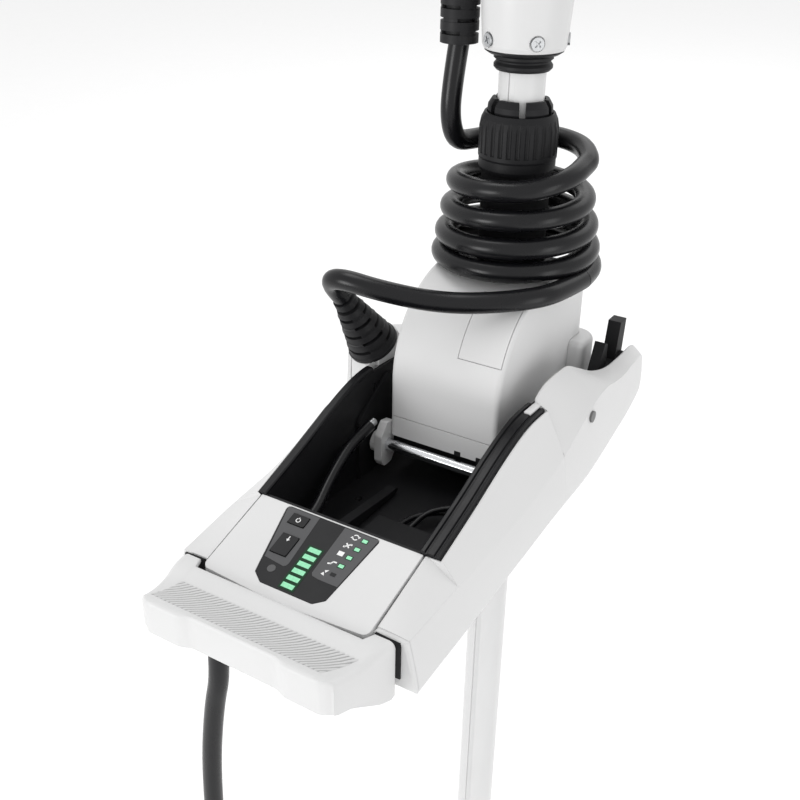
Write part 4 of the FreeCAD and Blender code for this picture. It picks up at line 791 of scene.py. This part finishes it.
def turned_piece(name, place, axis, radius, length):
    """Short steel cylinder with chamfered ends, along an axis from its place."""
    forward = Vector(axis).normalized()
    across = forward.cross(Vector((0.2, 0.3, 0.9))).normalized()
    beside = forward.cross(across)
    spokes = [across * cos(2 * pi * k / SCREW_SIDES) + beside * sin(2 * pi * k / SCREW_SIDES)
              for k in range(SCREW_SIDES)]
    rows = []
    for reach, share in ((0.0, 0.8), (0.12, 1.0), (0.88, 1.0), (1.0, 0.8)):
        centre = mm(*place) + forward * (reach * length * MM)
        rows.append([centre + spoke * (share * radius * MM) for spoke in spokes])
    piece = rows_piece(name, rows, finishes["steel"])
    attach(piece, "mount")


# Screw in the port bracket, and the ferrule at the release cable's end
turned_piece("bracket_screw", (-61.6, 34.0, 58.0), (1, 0, 0), 2.3, 2.6)
turned_piece("cable_ferrule", (-51.3, 31.0, 66.6), (-0.11, -0.94, -0.32), 3.4, 8.0)


def fascia_notch_shade():
    """Black boxes in the two clip slots in the lower edge of the steering housing: painted shade in the
    slots.
    """
    points, faces = [], []
    for low_x, high_x in ((12.0, 17.5), (31.0, 36.5)):
        first = len(points)
        points += [mm(x, y, z) for x in (low_x, high_x) for y in (46.9, 50.0) for z in (47.8, 51.6)]
        faces += [tuple(first + k for k in face) for face in
                  ((0, 1, 3, 2), (4, 6, 7, 5), (0, 4, 5, 1), (2, 3, 7, 6), (0, 2, 6, 4), (1, 5, 7, 3))]
    notch_shade_boxes = mesh_piece("fascia_notch_shade", points, faces, finishes["cast_black"], False)
    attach(notch_shade_boxes, "housing")


fascia_notch_shade()

# ---------------------------------------------------------------- strain relief boots

BRIDGE_ARC = 52.0


def arc_block(origin, axes, inner, outer, low, high, start, end, count=6):
    """Rings of four points along a curved block about an axis; angles in degrees, sizes in mm."""
    across, beside, forward = axes
    rings = []
    for k in range(count + 1):
        angle = radians(start + (end - start) * k / count)
        spoke = across * cos(angle) + beside * sin(angle)
        rings.append([origin + spoke * radius * MM + forward * height * MM for radius, height in
                      ((inner, low), (outer, low), (outer, high), (inner, high))])
    return rings


def bridged_boot(name, base, tip, rings, body):
    """Bridges that turn a boot's plain grooves into staggered slots."""
    forward = (mm(*tip) - mm(*base)).normalized()
    across = forward.cross(Vector((0, 1, 0))).normalized()
    axes = (across, forward.cross(across), forward)
    points, faces = [], []
    for index, (low, high, inner, outer) in enumerate(rings):
        for third in range(3):
            start = 120 * third + (60 if index % 2 else 0)
            blocks = arc_block(mm(*base), axes, inner, outer, low, high, start, start + BRIDGE_ARC)
            corner = len(points)
            last = corner + 4 * (len(blocks) - 1)
            for first in range(corner, last, 4):
                for j in range(4):
                    k = (j + 1) % 4
                    faces.append((first + j, first + k, first + 4 + k, first + 4 + j))
            faces.append(tuple(range(corner, corner + 4)))
            faces.append(tuple(range(last, last + 4)))
            points += [point for ring in blocks for point in ring]
    bridges = crisp(mesh_piece(name, points, faces, finishes["black_rubber"]), 30.0)
    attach(bridges, body)


# Each ring: low and high end along the boot, inner and outer radius. The mount's boot tapers.
MOUNT_PITCH = (55.87 - 9.0) / 6
HEAD_PITCH = 9.0
mount_rings = [(3.0 + (k + 0.6) * MOUNT_PITCH, 3.1 + (k + 1) * MOUNT_PITCH, 13.0 - 1.75 * k,
                19.0 - 1.75 * k) for k in range(5)]
head_rings = [(HEAD_PITCH * k + 6.2, HEAD_PITCH * k + 9.2, 11.4, 14.1 + 0.1 * k) for k in range(7)]
bridged_boot("mount_boot_bridges", (-82.0, 76.0, 108.0), (-90.5, 47.0, 155.0), mount_rings, "mount")
bridged_boot("head_boot_bridges", (-51.0, 144.0, 337.0), (-51.0, 144.0, 415.0), head_rings, "shaft")

# ---------------------------------------------------------------- studio

WORLD_STRENGTH = 0.92
FLOOR_DROP = 0.02
FLOOR_REACH = 14.0


def area_light(name, place, target, size, power_watts):
    data = bpy.data.lights.new(name, "AREA")
    data.shape = "RECTANGLE"
    data.size, data.size_y = size
    data.energy = power_watts
    lamp = bpy.data.objects.new(name, data)
    lamp.location = place
    lamp.rotation_mode = "QUATERNION"
    lamp.rotation_quaternion = (Vector(target) - Vector(place)).to_track_quat("-Z", "Y")
    bpy.context.scene.collection.objects.link(lamp)


def add_studio():
    """White sweep in even light: soft key overhead, low fills from aft and starboard."""
    world = bpy.data.worlds.new("studio")
    world.use_nodes = True
    background = world.node_tree.nodes["Background"]
    background.inputs["Color"].default_value = (1.0, 1.0, 1.0, 1.0)
    background.inputs["Strength"].default_value = WORLD_STRENGTH
    bpy.context.scene.world = world
    floor_height = cad_low.z - FLOOR_DROP
    corners = [(x * FLOOR_REACH, y * FLOOR_REACH, floor_height)
               for x, y in ((-1, -1), (1, -1), (1, 1), (-1, 1))]
    floor_finish = finish("studio floor", (0.97, 0.97, 0.97), 0.9, 20.0, 0.2, 0.0, 0.004, specular=0.1)
    floor = mesh_piece("studio_floor", corners, [(0, 1, 2, 3)], floor_finish, False)
    aim = (0.0, 0.0, 0.1)
    area_light("key", (-0.7, 0.1, 2.3), aim, (1.0, 1.0), 11.0)
    area_light("front", (-0.9, -2.1, 0.1), aim, (0.9, 0.9), 19.0)
    area_light("starboard", (2.2, -0.5, -0.1), aim, (0.8, 1.6), 9.0)
    area_light("backdrop", (0.0, 5.0, 4.0), (0.0, 4.0, floor_height), (8.0, 4.0), 90.0)


add_studio()
bpy.context.scene.view_settings.view_transform = "Standard"
